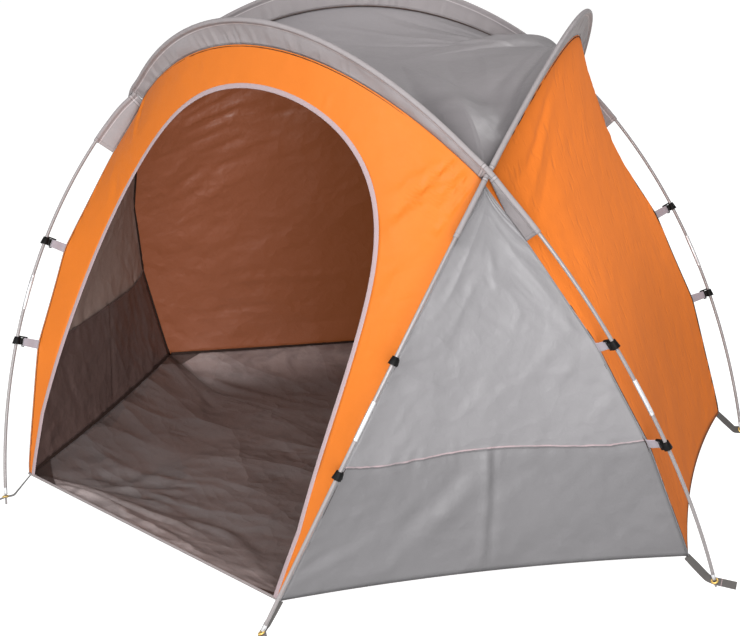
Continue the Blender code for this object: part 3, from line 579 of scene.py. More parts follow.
def rounded_strip(width, thickness, steps=4):
    """Section of a tape or webbing: flat on both faces with round edges, counter-clockwise."""
    half, radius = width / 2 - thickness / 2, thickness / 2
    turns = np.linspace(-math.pi / 2, math.pi / 2, steps + 1)
    right = np.stack([half + radius * np.cos(turns), radius * np.sin(turns)], axis=1)
    flat = np.linspace(half, -half, 7)[1:-1]
    top = np.stack([flat, np.full(5, radius)], axis=1)
    return np.concatenate([right, top, -right, -top])


# Shader maths
class Value:
    """A socket that carries a number. Python's operators on it add Math nodes."""

    def __init__(self, shader, socket):
        self.shader = shader
        self.socket = socket

    def math(self, operation, *others):
        """A Math node on this number and the others."""
        return self.shader.node("Math", {"operation": operation}, self, *others).out(0)

    def __add__(self, other):
        return self.math("ADD", other)

    def __sub__(self, other):
        return self.math("SUBTRACT", other)

    def __mul__(self, other):
        return self.math("MULTIPLY", other)

    def __truediv__(self, other):
        return self.math("DIVIDE", other)

    def __lt__(self, other):
        return self.math("LESS_THAN", other)

    def __gt__(self, other):
        return self.math("GREATER_THAN", other)

    def __abs__(self):
        return self.math("ABSOLUTE")

    def wave(self, pitch):
        """A sine of this pitch, from 0 to 1."""
        return (self * (2 * math.pi / pitch)).math("SINE") * 0.5 + 0.5

    def clamp(self, low, high):
        """0 at low, 1 at high, and even between."""
        return self.shader.node("MapRange", {}, self, low, high, 0.0, 1.0).out(0)


class Node:
    """A shader node whose outputs are read as numbers."""

    def __init__(self, shader, node):
        self.shader = shader
        self.node = node

    def out(self, name):
        return Value(self.shader, self.node.outputs[name])


class Shader:
    """A material with a Principled shader, and one method that adds any other node."""

    def __init__(self, name, roughness, metallic=0.0, coat=0.0, sheen=0.0, specular=0.5):
        self.material = bpy.data.materials.new(name)
        self.material.use_nodes = True
        self.tree = self.material.node_tree
        self.surface = self.tree.nodes["Principled BSDF"]
        plain = {"Roughness": roughness, "Metallic": metallic, "Coat Weight": coat, "Sheen Weight": sheen}
        for key, value in {**plain, "Specular IOR Level": specular, "Coat Roughness": 0.15}.items():
            self.surface.inputs[key].default_value = value

    def node(self, kind, settings, *values, **named):
        """Adds a node. Values go to its inputs in order, and named ones to the inputs of those names."""
        made = self.tree.nodes.new("ShaderNode" + kind)
        for key, value in settings.items():
            setattr(made, key, value)
        for key, value in [*enumerate(values), *named.items()]:
            key = key if isinstance(key, int) else key.replace("_", " ")
            if isinstance(value, Value):
                self.tree.links.new(value.socket, made.inputs[key])
            elif value is not None:
                made.inputs[key].default_value = value
        return Node(self, made)

    def place(self):
        """The place on the object, in metres."""
        return self.node("TexCoord", {}).out("Object")

    def flat(self):
        """The two lengths along the cloth, in metres."""
        split = self.node("SeparateXYZ", {}, self.node("UVMap", {"uv_map": "cloth"}).out(0))
        return split.out(0), split.out(1)

    def number(self, name):
        """A number that the mesh carries on its points."""
        return self.node("Attribute", {"attribute_name": name}).out("Fac")

    def cloud(self, scale, detail=3.0, distortion=0.0, stretch=None, seed=0.0):
        """Noise from 0 to 1 on the object's own coordinates, at this many features a metre."""
        place = self.place()
        if stretch or seed:
            place = self.moved(place, (seed, seed * 0.7, -seed), stretch or (1, 1, 1))
        made = self.node("TexNoise", {}, Vector=place, Scale=scale, Detail=detail, Distortion=distortion)
        return made.out(0)

    def moved(self, place, shift, stretch):
        """A place stretched along each axis and then shifted."""
        return self.node("Mapping", {"vector_type": "POINT"}, place, shift, (0, 0, 0), stretch).out(0)

    def mix(self, share, first, second):
        """A colour between two, by a share from 0 to 1."""
        made = self.tree.nodes.new("ShaderNodeMix")
        made.data_type = "RGBA"
        for key, value in ((0, share), (6, first), (7, second)):
            if isinstance(value, Value):
                self.tree.links.new(value.socket, made.inputs[key])
            else:
                made.inputs[key].default_value = value if key == 0 else (*value, 1)[:4]
        return Value(self, made.outputs[2])

    def finish(self, colour, bumps, roughness=None):
        """Links the colour, and one Bump node for each height and its depth in metres, each on the last."""
        self.tree.links.new(colour.socket, self.surface.inputs["Base Color"])
        normal = None
        for height, depth in bumps:
            normal = self.node("Bump", {}, Strength=1.0, Distance=depth, Height=height, Normal=normal).out(0)
        self.tree.links.new(normal.socket, self.surface.inputs["Normal"])
        if roughness is not None:
            self.tree.links.new(roughness.socket, self.surface.inputs["Roughness"])
        return self.material


def colour(red, green, blue):
    """A colour as seen on a screen, from 0 to 255 and above 10 in each channel, as light."""
    return tuple(((channel / 255 + 0.055) / 1.055) ** 2.4 for channel in (red, green, blue))


def shade(tone, share):
    """A tone times a share."""
    return tuple(channel * share for channel in tone)


# Colours, as seen in even light, except the painted light noted below
ORANGE = colour(201, 109, 36)
# The rear walls' orange: the front's orange cloth painted lighter, as painted light on the rear walls.
ORANGE_REAR_PAINTED_LIGHT = colour(238, 128, 50)
ORANGE_INSIDE = colour(130, 76, 57)
GREY = colour(131, 129, 131)
GREY_INSIDE = colour(143, 123, 115)
SLEEVE_GREY = colour(144, 138, 139)
ROOF_GREY = colour(141, 136, 138)
POCKET_INSIDE = colour(92, 74, 70)
FLOOR = colour(100, 92, 91)
FLOOR_BELOW = colour(86, 80, 78)
BINDING = colour(160, 140, 143)
HEM_TAPE = colour(138, 128, 127)
TAB = colour(148, 140, 147)
WEBBING = colour(78, 75, 73)
FIBREGLASS = colour(142, 136, 136)
BLACK = colour(14, 14, 14)
STEEL = colour(208, 208, 210)
BRASS = colour(222, 186, 104)
DARK_TAPE = colour(54, 42, 38)
SEAM_SHADE = colour(96, 80, 75)


def weave(shader, pitch):
    """Height of a plain weave, two crossed sines on the cloth's own lengths."""
    s, t = shader.flat()
    return s.wave(pitch) * t.wave(pitch)


def stitches(shader, offset, pitch=0.0035, half_width=0.0004):
    """1 on the dashes of a stitch line at this distance from the cloth's edge, and 0 elsewhere."""
    dash = (shader.number("run") / pitch).math("FRACT") < 0.68
    return (abs(shader.number("edge") - offset) < half_width) * dash


def dents(shader, scale, seed, stretch=(1, 1, 1)):
    """Height of crumples with straight ridges: distance to the nearest of scattered points, in patches."""
    shift = shader.node("TexNoise", {}, Vector=shader.place(), Scale=scale * 0.6, Detail=2.0).out("Color")
    amount = (0.09, 0.09, 0.09)
    place = shader.node("VectorMath", {"operation": "MULTIPLY_ADD"}, shift, amount, shader.place()).out(0)
    place = shader.moved(place, (seed, -seed, seed * 0.6), stretch)
    cells = shader.node("TexVoronoi", {}, Vector=place, Scale=scale, Randomness=1.0)
    patch = shader.cloud(scale * 0.3, 2, 0.3, seed=seed + 2.0).clamp(0.38, 0.62) * 0.75 + 0.25
    return cells.out("Distance") * patch


def cloth_material(
    name, tone, rough=0.46, seam=0.004, depth=1.0, stretch=(1, 1, 1), line=False, specular=0.3, glow=0.0,
    hem=False, nicks=False, sheen=0.0, fade=False,
):
    """Coated polyester: a plain weave, crumples of three sizes, faint mottling, and a stitch line at seams.

    With a line, the cloth is darker below the pocket's top seam as painted shade, for the less light that
    comes through its two layers there, and a pale tape runs along that seam with a painted shadow just below
    it.
    With a hem, it has a turned edge near each crossing, drawn as a painted highlight with a painted shadow
    line to each side, and a painted highlight along the crease beside the pole. With nicks, it has short
    upright creases. With its shade number, painted shade darkens it to a quarter where that number is 1.
    Glow is a light of its own, the same all over, that stands for what comes through the cloth.
    """
    shader = Shader(name, rough, sheen=sheen, specular=specular)
    shader.surface.inputs["Emission Color"].default_value = (*ORANGE, 1)
    shader.surface.inputs["Emission Strength"].default_value = glow
    base = shader.mix(shader.cloud(7, 4, 0.4), shade(tone, 0.95), shade(tone, 1.05))
    base = shader.mix(shader.cloud(34, 3, 0.8, seed=3.1) * 0.2, base, shade(tone, 0.85))
    bumps = [
        (dents(shader, 6, 1.7, stretch), 0.008 * depth), (dents(shader, 17, 4.3, stretch), 0.0040 * depth),
        (shader.cloud(38, 3, 0.5, seed=7.9), 0.0016 * depth), (weave(shader, 0.0011), 0.00005),
    ]
    if nicks:
        bumps += [(shader.cloud(42, 1, 0.0, (1, 1, 0.2), 5.5).clamp(0.58, 0.76), -0.0017)]
    # Painted shade: the colour darkens towards a quarter of the tone where the shade number is 1.
    if fade:
        base = shader.mix(shader.number("fade"), base, shade(tone, 0.25))
    if line:
        low = shader.number("line")
        # Painted shade: darker below the pocket's top seam, for the less light that comes through two layers
        # there.
        base = shader.mix(low.clamp(-0.002, 0.002) * 0.30, base, shade(tone, 0.2))
        tape = (low > -0.0026) * (low < 0.0026)
        # Painted shadow in the groove just below the tape.
        under = abs(low - 0.0046) < 0.0022
        base = shader.mix(under * 0.45, base, shade(tone, 0.3))
        worn = shader.cloud(30, 2, seed=6.0).clamp(0.3, 0.6) * 0.5 + 0.35
        base = shader.mix(tape * worn, base, shade(BINDING, 1.2))
        bumps += [(tape - under, 0.0008)]
    if hem:
        # Painted highlight on a turned hem near each crossing, with a painted shadow line to each side of it.
        gap = abs(shader.number("gap") - 0.020)
        base = shader.mix((gap < 0.0030) * 0.35, base, shade(tone, 1.7))
        base = shader.mix((gap > 0.0030) * (gap < 0.0055) * 0.5, base, shade(tone, 0.3))
        # Painted highlight along the crease where the fin meets the pole's channel.
        base = shader.mix((shader.number("neck") < 0.0013) * 0.55, base, shade(tone, 2.1))
    thread = stitches(shader, seam)
    base = shader.mix(thread * 0.45, base, shade(tone, 0.45))
    bumps += [(thread, 0.0003)]
    return shader.finish(base, bumps, shader.cloud(60, 2) * 0.14 + (rough - 0.07))


def tape_material(name, tone, rib=0.0012, stitch=None, tail=False, sheen=0.25, specular=0.3):
    """Woven tape: ribs across it, specks of thread, and a line of stitches along it or across its tail."""
    shader = Shader(name, 0.72, sheen=sheen, specular=specular)
    along, around = shader.flat()
    specks = shader.cloud(900, 2)
    base = shader.mix(specks * 0.5, shade(tone, 1.04), shade(tone, 0.78))
    rows = along.wave(rib) * 0.6 + around.wave(rib * 1.4) * 0.4
    bumps = [(rows, 0.00012), (shader.cloud(55, 3, 0.6), 0.0005)]
    if stitch:
        offset, thread_tone = stitch
        thread = (abs(around - offset) < 0.0005) * ((along / 0.004).math("FRACT") < 0.66)
        base = shader.mix(thread, base, thread_tone)
        bumps.append((thread, 0.0003))
    if tail:
        rows = (abs(shader.number("tail") - 0.042) < 0.0010) * ((around / 0.003).math("FRACT") < 0.75)
        base = shader.mix(rows, base, BINDING)
    return shader.finish(base, bumps)


def plastic_material(name, tone, rough):
    """Moulded plastic: uneven gloss and a fine grain."""
    shader = Shader(name, rough, specular=0.1)
    base = shader.mix(shader.cloud(300, 3), shade(tone, 0.85), shade(tone, 1.25))
    return shader.finish(base, [(shader.cloud(1400, 2), 0.00006)], shader.cloud(90, 3) * 0.2 + (rough - 0.1))


def metal_material(name, tone, rough, metallic, slit=False):
    """Drawn metal: fine lines round it, and faint stains. A grooved tube has dark lines along it."""
    shader = Shader(name, rough, metallic=metallic)
    along, around = shader.flat()
    base = shader.mix(shader.cloud(160, 4), shade(tone, 0.86), tone)
    if slit:
        gap = abs((around / 0.0098).math("FRACT") - 0.5) < 0.09
        base = shader.mix(gap * 0.75, base, shade(tone, 0.12))
    return shader.finish(base, [(along.wave(0.0004), 0.00001)], shader.cloud(220, 3) * 0.14 + (rough - 0.05))


def rod_material(name, tone):
    """Resin-bound glass fibre: streaks along the rod under a satin skin."""
    shader = Shader(name, 0.32, coat=0.25)
    along, around = shader.flat()
    streaks = shader.node("CombineXYZ", {}, along * 6.0, around * 900.0, 0.0).out(0)
    fibres = shader.node("TexNoise", {}, Vector=streaks, Scale=1.0, Detail=3.0).out(0)
    base = shader.mix(fibres, shade(tone, 0.72), shade(tone, 1.12))
    return shader.finish(base, [(fibres, 0.00008)], shader.cloud(70, 3) * 0.2 + 0.24)


def floor_material(name, tone, rough):
    """Groundsheet cloth: heavier weave under a glossy coating, crumpled, with a seam and dark corner patches.

    The rim number mixes in three times the tone as painted light along the hems, by a cloudy share from a
    half to 1.
    """
    shader = Shader(name, rough, specular=0.7)
    base = shader.mix(shader.cloud(5, 4, 0.5), shade(tone, 0.9), shade(tone, 1.08))
    base = shader.mix(shader.cloud(40, 4, 1.0, seed=2.2) * 0.3, base, shade(tone, 0.74))
    # Painted light: paler along the hems below the orange walls.
    pale = shader.cloud(9, 4, 1.5, seed=4.4).clamp(0.35, 0.6) * 0.5 + 0.5
    base = shader.mix(shader.number("rim") * pale, base, shade(tone, 3.0))
    along = shader.node("SeparateXYZ", {}, shader.place()).out(1)
    seam = abs(along - 0.004) < 0.0022
    patch = shader.number("patch") < 0.0
    patch_edge = abs(shader.number("patch")) < 0.002
    base = shader.mix(patch * 0.85, base, DARK_TAPE)
    base = shader.mix(seam.math("MAXIMUM", patch_edge) * 0.6, base, shade(tone, 0.25))
    bumps = [
        (dents(shader, 5, 2.0, (0.6, 1.2, 1)), 0.034), (dents(shader, 14, 5.0, (0.8, 1.2, 1)), 0.0075),
        (shader.cloud(40, 3, 0.5), 0.0016), (weave(shader, 0.0016), 0.00007), (seam * -1.0, 0.0008),
    ]
    return shader.finish(base, bumps, shader.cloud(24, 4, 0.8) * 0.3 + (rough - 0.15))


def materials():
    """Every material of the shelter, by a short name."""
    return {
        "orange": cloth_material("orange_cloth", ORANGE, depth=0.35, specular=0.15, fade=True),
        # Rear walls: the orange cloth painted lighter as painted light, and darkened by painted shade by
        # number.
        "orange_rear_painted_light": cloth_material(
            "orange_cloth_rear_painted_light", ORANGE_REAR_PAINTED_LIGHT, stretch=(1, 1, 0.5), depth=0.5, specular=0.0, nicks=True,
            sheen=0.028, fade=True,
        ),
        "orange_inside": cloth_material(
            "orange_cloth_inside", ORANGE_INSIDE, depth=1.2, glow=0.13, specular=0.9,
        ),
        "grey": cloth_material("grey_cloth", GREY, line=True, depth=0.65),
        "pocket": cloth_material("pocket_cloth", GREY),
        "grey_inside": cloth_material("grey_cloth_inside", GREY_INSIDE),
        "roof": cloth_material("roof_cloth", ROOF_GREY, stretch=(0.6, 1, 1), depth=0.7, fade=True),
        # Sleeves: painted highlights and painted shadow lines near the crossings and along the pole's crease.
        "sleeve": cloth_material("sleeve_cloth", SLEEVE_GREY, 0.42, 0.0165, 0.8, specular=0.06, hem=True),
        "pocket_inside": cloth_material("pocket_cloth_inside", POCKET_INSIDE, stretch=(1, 1, 0.5), depth=1.5),
        "floor": floor_material("groundsheet", FLOOR, 0.36),
        "floor_below": floor_material("groundsheet_below", FLOOR_BELOW, 0.55),
        "binding": tape_material("binding_tape", BINDING, stitch=(0.0155, shade(BINDING, 0.6))),
        "hem_tape": tape_material("hem_tape", HEM_TAPE),
        "dark_tape": tape_material("inner_seam_tape", DARK_TAPE, sheen=0.0, specular=0.05),
        "seam_shade": tape_material("top_seam_cord", SEAM_SHADE),
        "leg_cord": tape_material("leg_seam_cord", shade(GREY, 0.9)),
        "tab": tape_material("clip_tab_webbing", TAB, rib=0.0018),
        "webbing": tape_material("strap_webbing", WEBBING, rib=0.0022, tail=True),
        "rod": rod_material("fibreglass_rod", FIBREGLASS),
        "steel": metal_material("steel_tube", STEEL, 0.34, 0.35),
        "tube": metal_material("ferrule_tube", STEEL, 0.34, 0.35, slit=True),
        "brass": metal_material("brass_eyelet", BRASS, 0.3, 0.45),
        "plastic": plastic_material("clip_plastic", BLACK, 0.52),
    }


MATERIALS = materials()


# The wrinkles of each panel. S runs to the right seen from outside and t up from the hem.
def corner_fans(half_width, height, seed, strength):
    """Folds that spread from the two upper corners and the two lower corners of a tall wall."""
    rows = fan(-half_width, height, (-62, -8), (0.25, 0.6), strength, 0.02, 7, seed)
    rows += fan(half_width, height, (-172, -118), (0.25, 0.6), strength, 0.02, 7, seed + 1)
    rows += fan(-0.56, 0.0, (15, 75), (0.2, 0.5), strength * 0.8, 0.018, 6, seed + 2)
    rows += fan(0.56, 0.0, (105, 165), (0.2, 0.5), strength * 0.8, 0.018, 6, seed + 3)
    return rows


FRONT_FOLDS = corner_fans(0.70, 1.12, 3, 0.0020) + [
    (0.665, 1.30, 0.570, 1.135, -0.0085, 0.009, 0.004), (0.690, 1.31, 0.600, 1.150, 0.0075, 0.009, 0.004),
    (0.715, 1.28, 0.660, 1.175, -0.0075, 0.008, 0.002), (0.740, 1.27, 0.690, 1.160, 0.0060, 0.008, 0.002),
    (0.770, 1.24, 0.700, 1.080, -0.0050, 0.009, 0.002), (0.640, 1.30, 0.530, 1.160, 0.0050, 0.010, 0.006),
    (0.75, 1.30, 0.50, 1.02, 0.0050, 0.016, 0.006), (0.26, 1.34, 0.245, 1.25, 0.0020, 0.007, 0.0),
    (-0.76, 1.28, -0.58, 1.12, 0.0045, 0.013, -0.005), (-0.74, 1.31, -0.62, 1.18, -0.0040, 0.011, 0.0),
    (0.60, 0.75, 0.56, 0.55, 0.0030, 0.012, 0.004),
]
REAR_FOLDS = corner_fans(0.70, 1.12, 5, 0.002)
REAR_FOLDS += scattered((-0.65, 0.2, 0.65, 1.25), 88, 12, (0.05, 0.16), 0.0014, 0.008, 90, 52)
for side in (1, -1):
    REAR_FOLDS += [
        (side * 0.76, 1.20, side * 0.20, 1.36, -0.0050, 0.016, -0.03),
        (side * 0.74, 1.14, side * 0.28, 1.31, 0.0040, 0.016, -0.03),
        (side * 0.75, 1.08, side * 0.34, 1.24, -0.0030, 0.018, -0.02),
        (side * 0.76, 1.12, side * 0.60, 0.82, 0.0022, 0.016, 0.01),
        (side * 0.74, 1.06, side * 0.56, 0.74, -0.0020, 0.017, 0.01),
    ]
STREAKS = [
    (0.62, 1.12, 0.33, 1.16, 0.0080, 0.010, 0.01), (0.60, 1.09, 0.36, 1.11, -0.0070, 0.010, 0.01),
    (0.58, 1.05, 0.30, 1.09, 0.0070, 0.011, 0.01), (0.56, 1.00, 0.38, 1.03, 0.0055, 0.009, 0.0),
    (0.56, 0.73, 0.33, 0.89, 0.0080, 0.011, 0.01), (0.50, 0.70, 0.34, 0.80, -0.0070, 0.010, 0.01),
    (0.60, 0.80, 0.40, 0.93, 0.0065, 0.010, 0.0), (0.45, 0.92, 0.30, 1.00, 0.0055, 0.010, 0.0),
    (0.62, 0.60, 0.30, 0.66, 0.0050, 0.012, 0.01), (0.55, 0.24, 0.10, 0.20, 0.0050, 0.012, 0.01),
    (0.40, 0.34, -0.10, 0.30, -0.0045, 0.014, 0.01), (0.20, 0.10, -0.40, 0.12, 0.0050, 0.013, 0.0),
]
STREAKS += scattered((0.2, 0.55, 0.65, 1.15), 168, 9, (0.08, 0.22), 0.0042, 0.009, 26, 53)
STREAKS += scattered((-0.6, 0.05, 0.5, 0.5), 175, 14, (0.10, 0.25), 0.0036, 0.012, 22, 54)
SIDE_FOLDS = scattered((-0.55, 0.42, 0.55, 0.95), 70, 45, (0.04, 0.14), 0.0016, 0.010, 70, 64)
SIDE_FOLDS += scattered((-0.55, 0.02, 0.55, 0.34), 60, 40, (0.05, 0.15), 0.0016, 0.012, 40, 65)
SIDE_FOLDS += fan(-0.62, 0.03, (20, 75), (0.2, 0.4), 0.0030, 0.016, 5, 66)
SIDE_FOLDS += fan(0.62, 0.03, (105, 160), (0.2, 0.4), 0.0030, 0.016, 5, 67)
RIGHT_FOLDS = [
    (-0.30, 0.72, -0.15, 0.56, 0.0045, 0.012, 0.01), (-0.29, 0.70, -0.19, 0.66, -0.0035, 0.009, 0.0),
    (-0.31, 0.66, -0.22, 0.55, -0.0030, 0.010, 0.0), (0.02, 0.31, -0.24, 0.04, 0.0065, 0.030, 0.01),
    (-0.06, 0.30, -0.30, 0.06, -0.0050, 0.028, 0.01), (0.30, 0.14, 0.36, 0.05, 0.0025, 0.010, 0.0),
    (0.48, 0.17, 0.52, 0.08, 0.0025, 0.010, 0.0), (-0.20, 0.60, -0.02, 0.45, 0.0028, 0.015, 0.01),
]
POCKET_STREAKS = scattered((-0.5, 0.03, 0.5, 0.34), 68, 14, (0.18, 0.36), 0.0034, 0.013, 30, 68)

# For each panel: its seed, the height and size of its crumples, the height of its puckers, and its folds
SIDE_CLOTH = {"crumple": 0.0042, "size": 0.16, "pucker": 0.0026}
PLANS = {
    "front_wall": {"seed": 11, "crumple": 0.0012, "size": 0.3, "pucker": 0.0016, "folds": FRONT_FOLDS},
    "rear_wall_right": {"seed": 12, "crumple": 0.0028, "size": 0.25, "pucker": 0.0026, "folds": REAR_FOLDS},
    "rear_wall_left": {
        "seed": 13, "crumple": 0.0050, "size": 0.22, "pucker": 0.0026, "folds": REAR_FOLDS + STREAKS,
    },
    "side_wall_right": {**SIDE_CLOTH, "seed": 21, "folds": SIDE_FOLDS + RIGHT_FOLDS},
    "side_wall_rear": {**SIDE_CLOTH, "seed": 22, "folds": SIDE_FOLDS},
    "side_wall_left": {**SIDE_CLOTH, "seed": 23, "folds": SIDE_FOLDS + POCKET_STREAKS},
}

WALL_NAMES = ("front_wall", "rear_wall_right", "rear_wall_left")
SIDES = ("right", "rear", "left")


def edge_numbers(places):
    """Distance to the nearest edge of a panel, and the length along that edge."""
    distances = np.stack([places[name] for name in ("left", "right", "t", "high")])
    run = np.choose(distances.argmin(axis=0), [places[name] for name in ("t", "t", "s", "s")])
    numbers = {"edge": distances.min(axis=0), "run": run}
    return numbers | {name: places[name] for name in ("line", "fade") if name in places}


def painted_corner_shade(places, depth, reach):
    """Painted shade: depth * exp(-(distance / reach) ** 2) from a wall's two upper corners."""
    near = np.minimum(places["left"], places["right"]) ** 2 + places["high"] ** 2
    return depth * np.exp(-near / reach**2)


def cut_size(places):
    """Width and length of the rectangle that a panel is cut from: its own lengths and 10 mm at each edge."""
    return float(np.ptp(places["s"])) + 0.02, float(np.ptp(places["t"])) + 0.02


def make_wall(name, panel, u, v, places, pair, thirds):
    """A wall: the panel's points at u and v, moved out by the relief and turned by thirds to their place.
    """
    plain = panel.at(u, v)
    points = plain + panel.out(u, v) * relief(places, PLANS[name])[..., None]
    flat = np.stack([places["s"], places["t"]], axis=-1)
    faces = grid_faces(*points.shape[:2])
    mesh = mesh_of(name + "_cloth", turned(points, thirds), faces, flat, edge_numbers(places))
    width, length = cut_size(places)
    return sheet_piece(name + "_cloth", name, welded(mesh), pair, (width, length))


def even_shares(rows, columns):
    """Shares across and up a panel on an even grid."""
    v, u = np.meshgrid(np.linspace(0, 1, rows + 1), np.linspace(0, 1, columns + 1), indexing="ij")
    return u, v


def make_rear_wall(k, panel):
    """An orange wall, with painted shade towards its upper corners, from 0.85 m down, and in a band below its
    top.
    """
    u, v = even_shares(128, 128)
    places = panel.lengths(u, v)
    # Painted shade: darker near the upper corners by the crossings, low on the wall, and in a band under the
    # top seam.
    places["fade"] = painted_corner_shade(places, 0.66, 0.29) + 0.27 * smooth((0.85 - places["t"]) / 0.5)
    places["fade"] += 0.22 * np.exp(-places["high"] / 0.03) * (1 - painted_corner_shade(places, 1, 0.29))
    make_wall(WALL_NAMES[k], panel, u, v, places, ("orange_rear_painted_light", "orange_inside"), k)


def pocket_line(places):
    """Distance down from the pocket's top seam, which is at height + bow * s ** 2."""
    return POCKET_HEIGHT + POCKET_BOW * places["s"] ** 2 - places["t"]


def side_places(panel, u, v):
    """The distances on a grey wall, with the one from its pocket's top seam."""
    places = panel.lengths(u, v)
    places["line"] = pocket_line(places)
    return places


def make_side_wall(k, panel):
    """A grey wall."""
    u, v = even_shares(128, 104)
    places = side_places(panel, u, v)
    make_wall("side_wall_" + SIDES[k], panel, u, v, places, ("grey", "grey_inside"), k)


# Doorway
def door_line(shares, grow):
    """X and Z of the doorway's edge, grown by this much, at shares of the way round from its left foot.

    At a share of its height it is half width * (1 - share ** power) ** (1 / 2) to each side, tucked in near
    the hem.
    """
    turns = np.linspace(0, math.pi / 2, 400)
    rise = np.sin(turns)
    width = (DOOR_HALF_WIDTH + grow) * np.sqrt(1 - rise**DOOR_POWER)
    width -= DOOR_TUCK * np.clip(1 - rise / DOOR_TUCK_RISE, 0, 1)
    half = np.stack([width, HEM_HEIGHT + (DOOR_TOP - HEM_HEIGHT + grow) * rise], axis=1)
    line = np.concatenate([half * [-1, 1], half[-2::-1]])
    run = gone(line, 0) / gone(line, 0)[-1]
    return np.interp(shares, run, line[:, 0]), np.interp(shares, run, line[:, 1])


def outer_line(shares):
    """Shares across and up the front wall at its seams: up the left one, along the top and down the right."""
    corner = 0.31
    u = np.clip((shares - corner) / (1 - 2 * corner), 0, 1)
    v = np.minimum(np.clip(shares / corner, 0, 1), np.clip((1 - shares) / corner, 0, 1))
    return u, v


def front_band(panel, around, across, grow):
    """Shares across and up the front wall on a band between the doorway's edge and the wall's seams."""
    shares = np.linspace(0, 1, around + 1)
    inner_u, inner_v = panel.where(*door_line(shares, grow))
    inner_v[[0, -1]] = 0
    outer_u, outer_v = outer_line(shares)
    even = np.linspace(0, 1, across + 1)[:, None]
    step = smooth(even) * 0.5 + even * 0.5
    u = inner_u[None] * (1 - step) + outer_u[None] * step
    v = inner_v[None] * (1 - step) + outer_v[None] * step
    return u, v


def make_front_wall(panel):
    """The front wall is a band round the doorway, from under the binding out to the seams."""
    u, v = front_band(panel, 460, 30, BINDING_WIDTH * 0.6)
    places = panel.lengths(u, v)
    places["door"] = gone(panel.at(u, v), 0)
    # Painted shade near the wall's upper corners, beside the crossings.
    places["fade"] = painted_corner_shade(places, 0.5, 0.03)
    pair = ("orange", "orange_inside")
    make_wall("front_wall", panel, u, v, places, pair, 0)


def binding_profile():
    """Section of the doorway's binding, folded over the wall's edge: x away from the opening, y outwards."""
    front = [
        [BINDING_WIDTH, 0.0004], [BINDING_WIDTH - 0.0006, 0.0011], [0.009, 0.0013], [0.004, 0.0014],
        [0.001, 0.0012],
    ]
    fold = [[-0.0004, 0.0005], [-0.0004, -0.0009]]
    back = [[x, -y - 0.0004] for x, y in reversed(front)]
    return np.array(front + fold + back)


def make_binding(panel, around=520):
    """The tape round the doorway."""
    shares = np.linspace(0, 1, around + 1)
    edge = panel.where(*door_line(shares, 0.0))
    away = panel.where(*door_line(shares, BINDING_WIDTH))
    edge[1][[0, -1]] = 0
    away[1][[0, -1]] = 0
    out = panel.out(*edge)
    points = panel.at(*edge)
    across = unit(panel.at(*away) - panel.at(*edge))
    across = square_to(across, unit(np.gradient(points, axis=0)))
    grid, faces, flat = swept(points, across, out, binding_profile()[::-1])
    mesh = closed_mesh("door_binding_tape", grid, faces, flat)
    piece = new_piece("door_binding_tape", mesh, [MATERIALS["binding"]], ["door_binding"])


# Roof
def roof_edge(columns):
    """The three top seams, as one ring."""
    return np.concatenate([turned(top_seam(top_share(columns)), third)[:-1] for third in range(3)])


def roof_points(rings, columns):
    """Rings from the middle to the three top seams.

    Height departs from that of the middle with a power of the radius: 2.2 towards the tops of the seams,
    about 7.7 towards the front right corner and 13.2 towards the two others. A bulge of one half sine stands
    on it before each corner. Inside the seams, the height at a seam counts as its mean over the nearest
    points, so that no crease runs in from a corner.
    """
    edge = roof_edge(columns)
    mean = edge[:, 2].mean()
    near = np.mean([np.roll(edge[:, 2], shift) for shift in range(-18, 19)], axis=0)
    radii = np.linspace(0, 1, rings + 1)[:, None] ** 0.65
    flat = edge[None, :, :2] * radii[:, :, None]
    low = np.clip((mean - near) / (mean - near.min()), 0, 1)
    middle = mean + ROOF_RISE
    seam = near + (edge[:, 2] - near) * radii**16
    power = 2.2 + (11 - 5.5 * towards(edge, -30)) * smooth(low)
    height = middle + (seam - middle) * radii ** power[None]
    bulge = sum(size * towards(edge, direction) for direction, size in ROOF_BULGES.items())
    height += np.sin(math.pi * radii**1.3) * bulge[None]
    return np.concatenate([flat, height[:, :, None]], axis=2)


def towards(edge, direction):
    """1 in a direction from the roof's middle, falling off to its sides as exp(-(turn / 26 degrees) ** 2)."""
    turn = np.degrees(np.arctan2(edge[:, 1], edge[:, 0])) - direction
    return np.exp(-(((turn + 180) % 360 - 180) / 26.0) ** 2)


def ring_normals(grid):
    """Upward normals of rings of points that run counter-clockwise, seen from above."""
    wrapped = np.concatenate([grid[:, -1:], grid, grid[:, :1]], axis=1)
    around, outwards = np.gradient(wrapped, axis=1)[:, 1:-1], np.gradient(grid, axis=0)
    normals = unit(np.cross(outwards, around))
    normals[0] = [0, 0, 1]
    return normals


ROOF_FOLDS = []
for third in range(3):
    angle = math.pi / 2 + THIRD_TURN * third
    back = math.degrees(angle) + 180
    corner = (0.82 * math.cos(angle), 0.82 * math.sin(angle))
    ROOF_FOLDS += fan(*corner, (back - 35, back + 35), (0.3, 0.9), 0.004, 0.025, 9, 61 + third)
ROOF_FOLDS += [
    (0.67, -0.36, 0.06, 0.68, -0.012, 0.020, 0.030), (0.66, -0.38, 0.10, 0.56, 0.003, 0.022, 0.045),
    (0.50, -0.20, 0.16, 0.42, -0.004, 0.020, 0.04), (0.40, -0.06, 0.05, 0.30, 0.004, 0.012, 0.01),
    (-0.02, 0.62, -0.62, 0.22, 0.0060, 0.009, 0.01), (-0.04, 0.54, -0.52, 0.20, -0.0056, 0.009, 0.01),
    (0.02, 0.48, -0.40, 0.26, 0.0056, 0.009, 0.0), (0.04, 0.40, -0.50, 0.06, 0.0050, 0.010, 0.01),
    (0.05, 0.34, -0.30, 0.02, -0.0050, 0.010, 0.01), (0.10, 0.44, -0.20, 0.14, 0.0050, 0.010, 0.01),
    (0.38, -0.16, 0.05, 0.12, -0.0045, 0.016, 0.01), (0.30, -0.18, -0.10, 0.02, 0.0045, 0.014, 0.01),
]


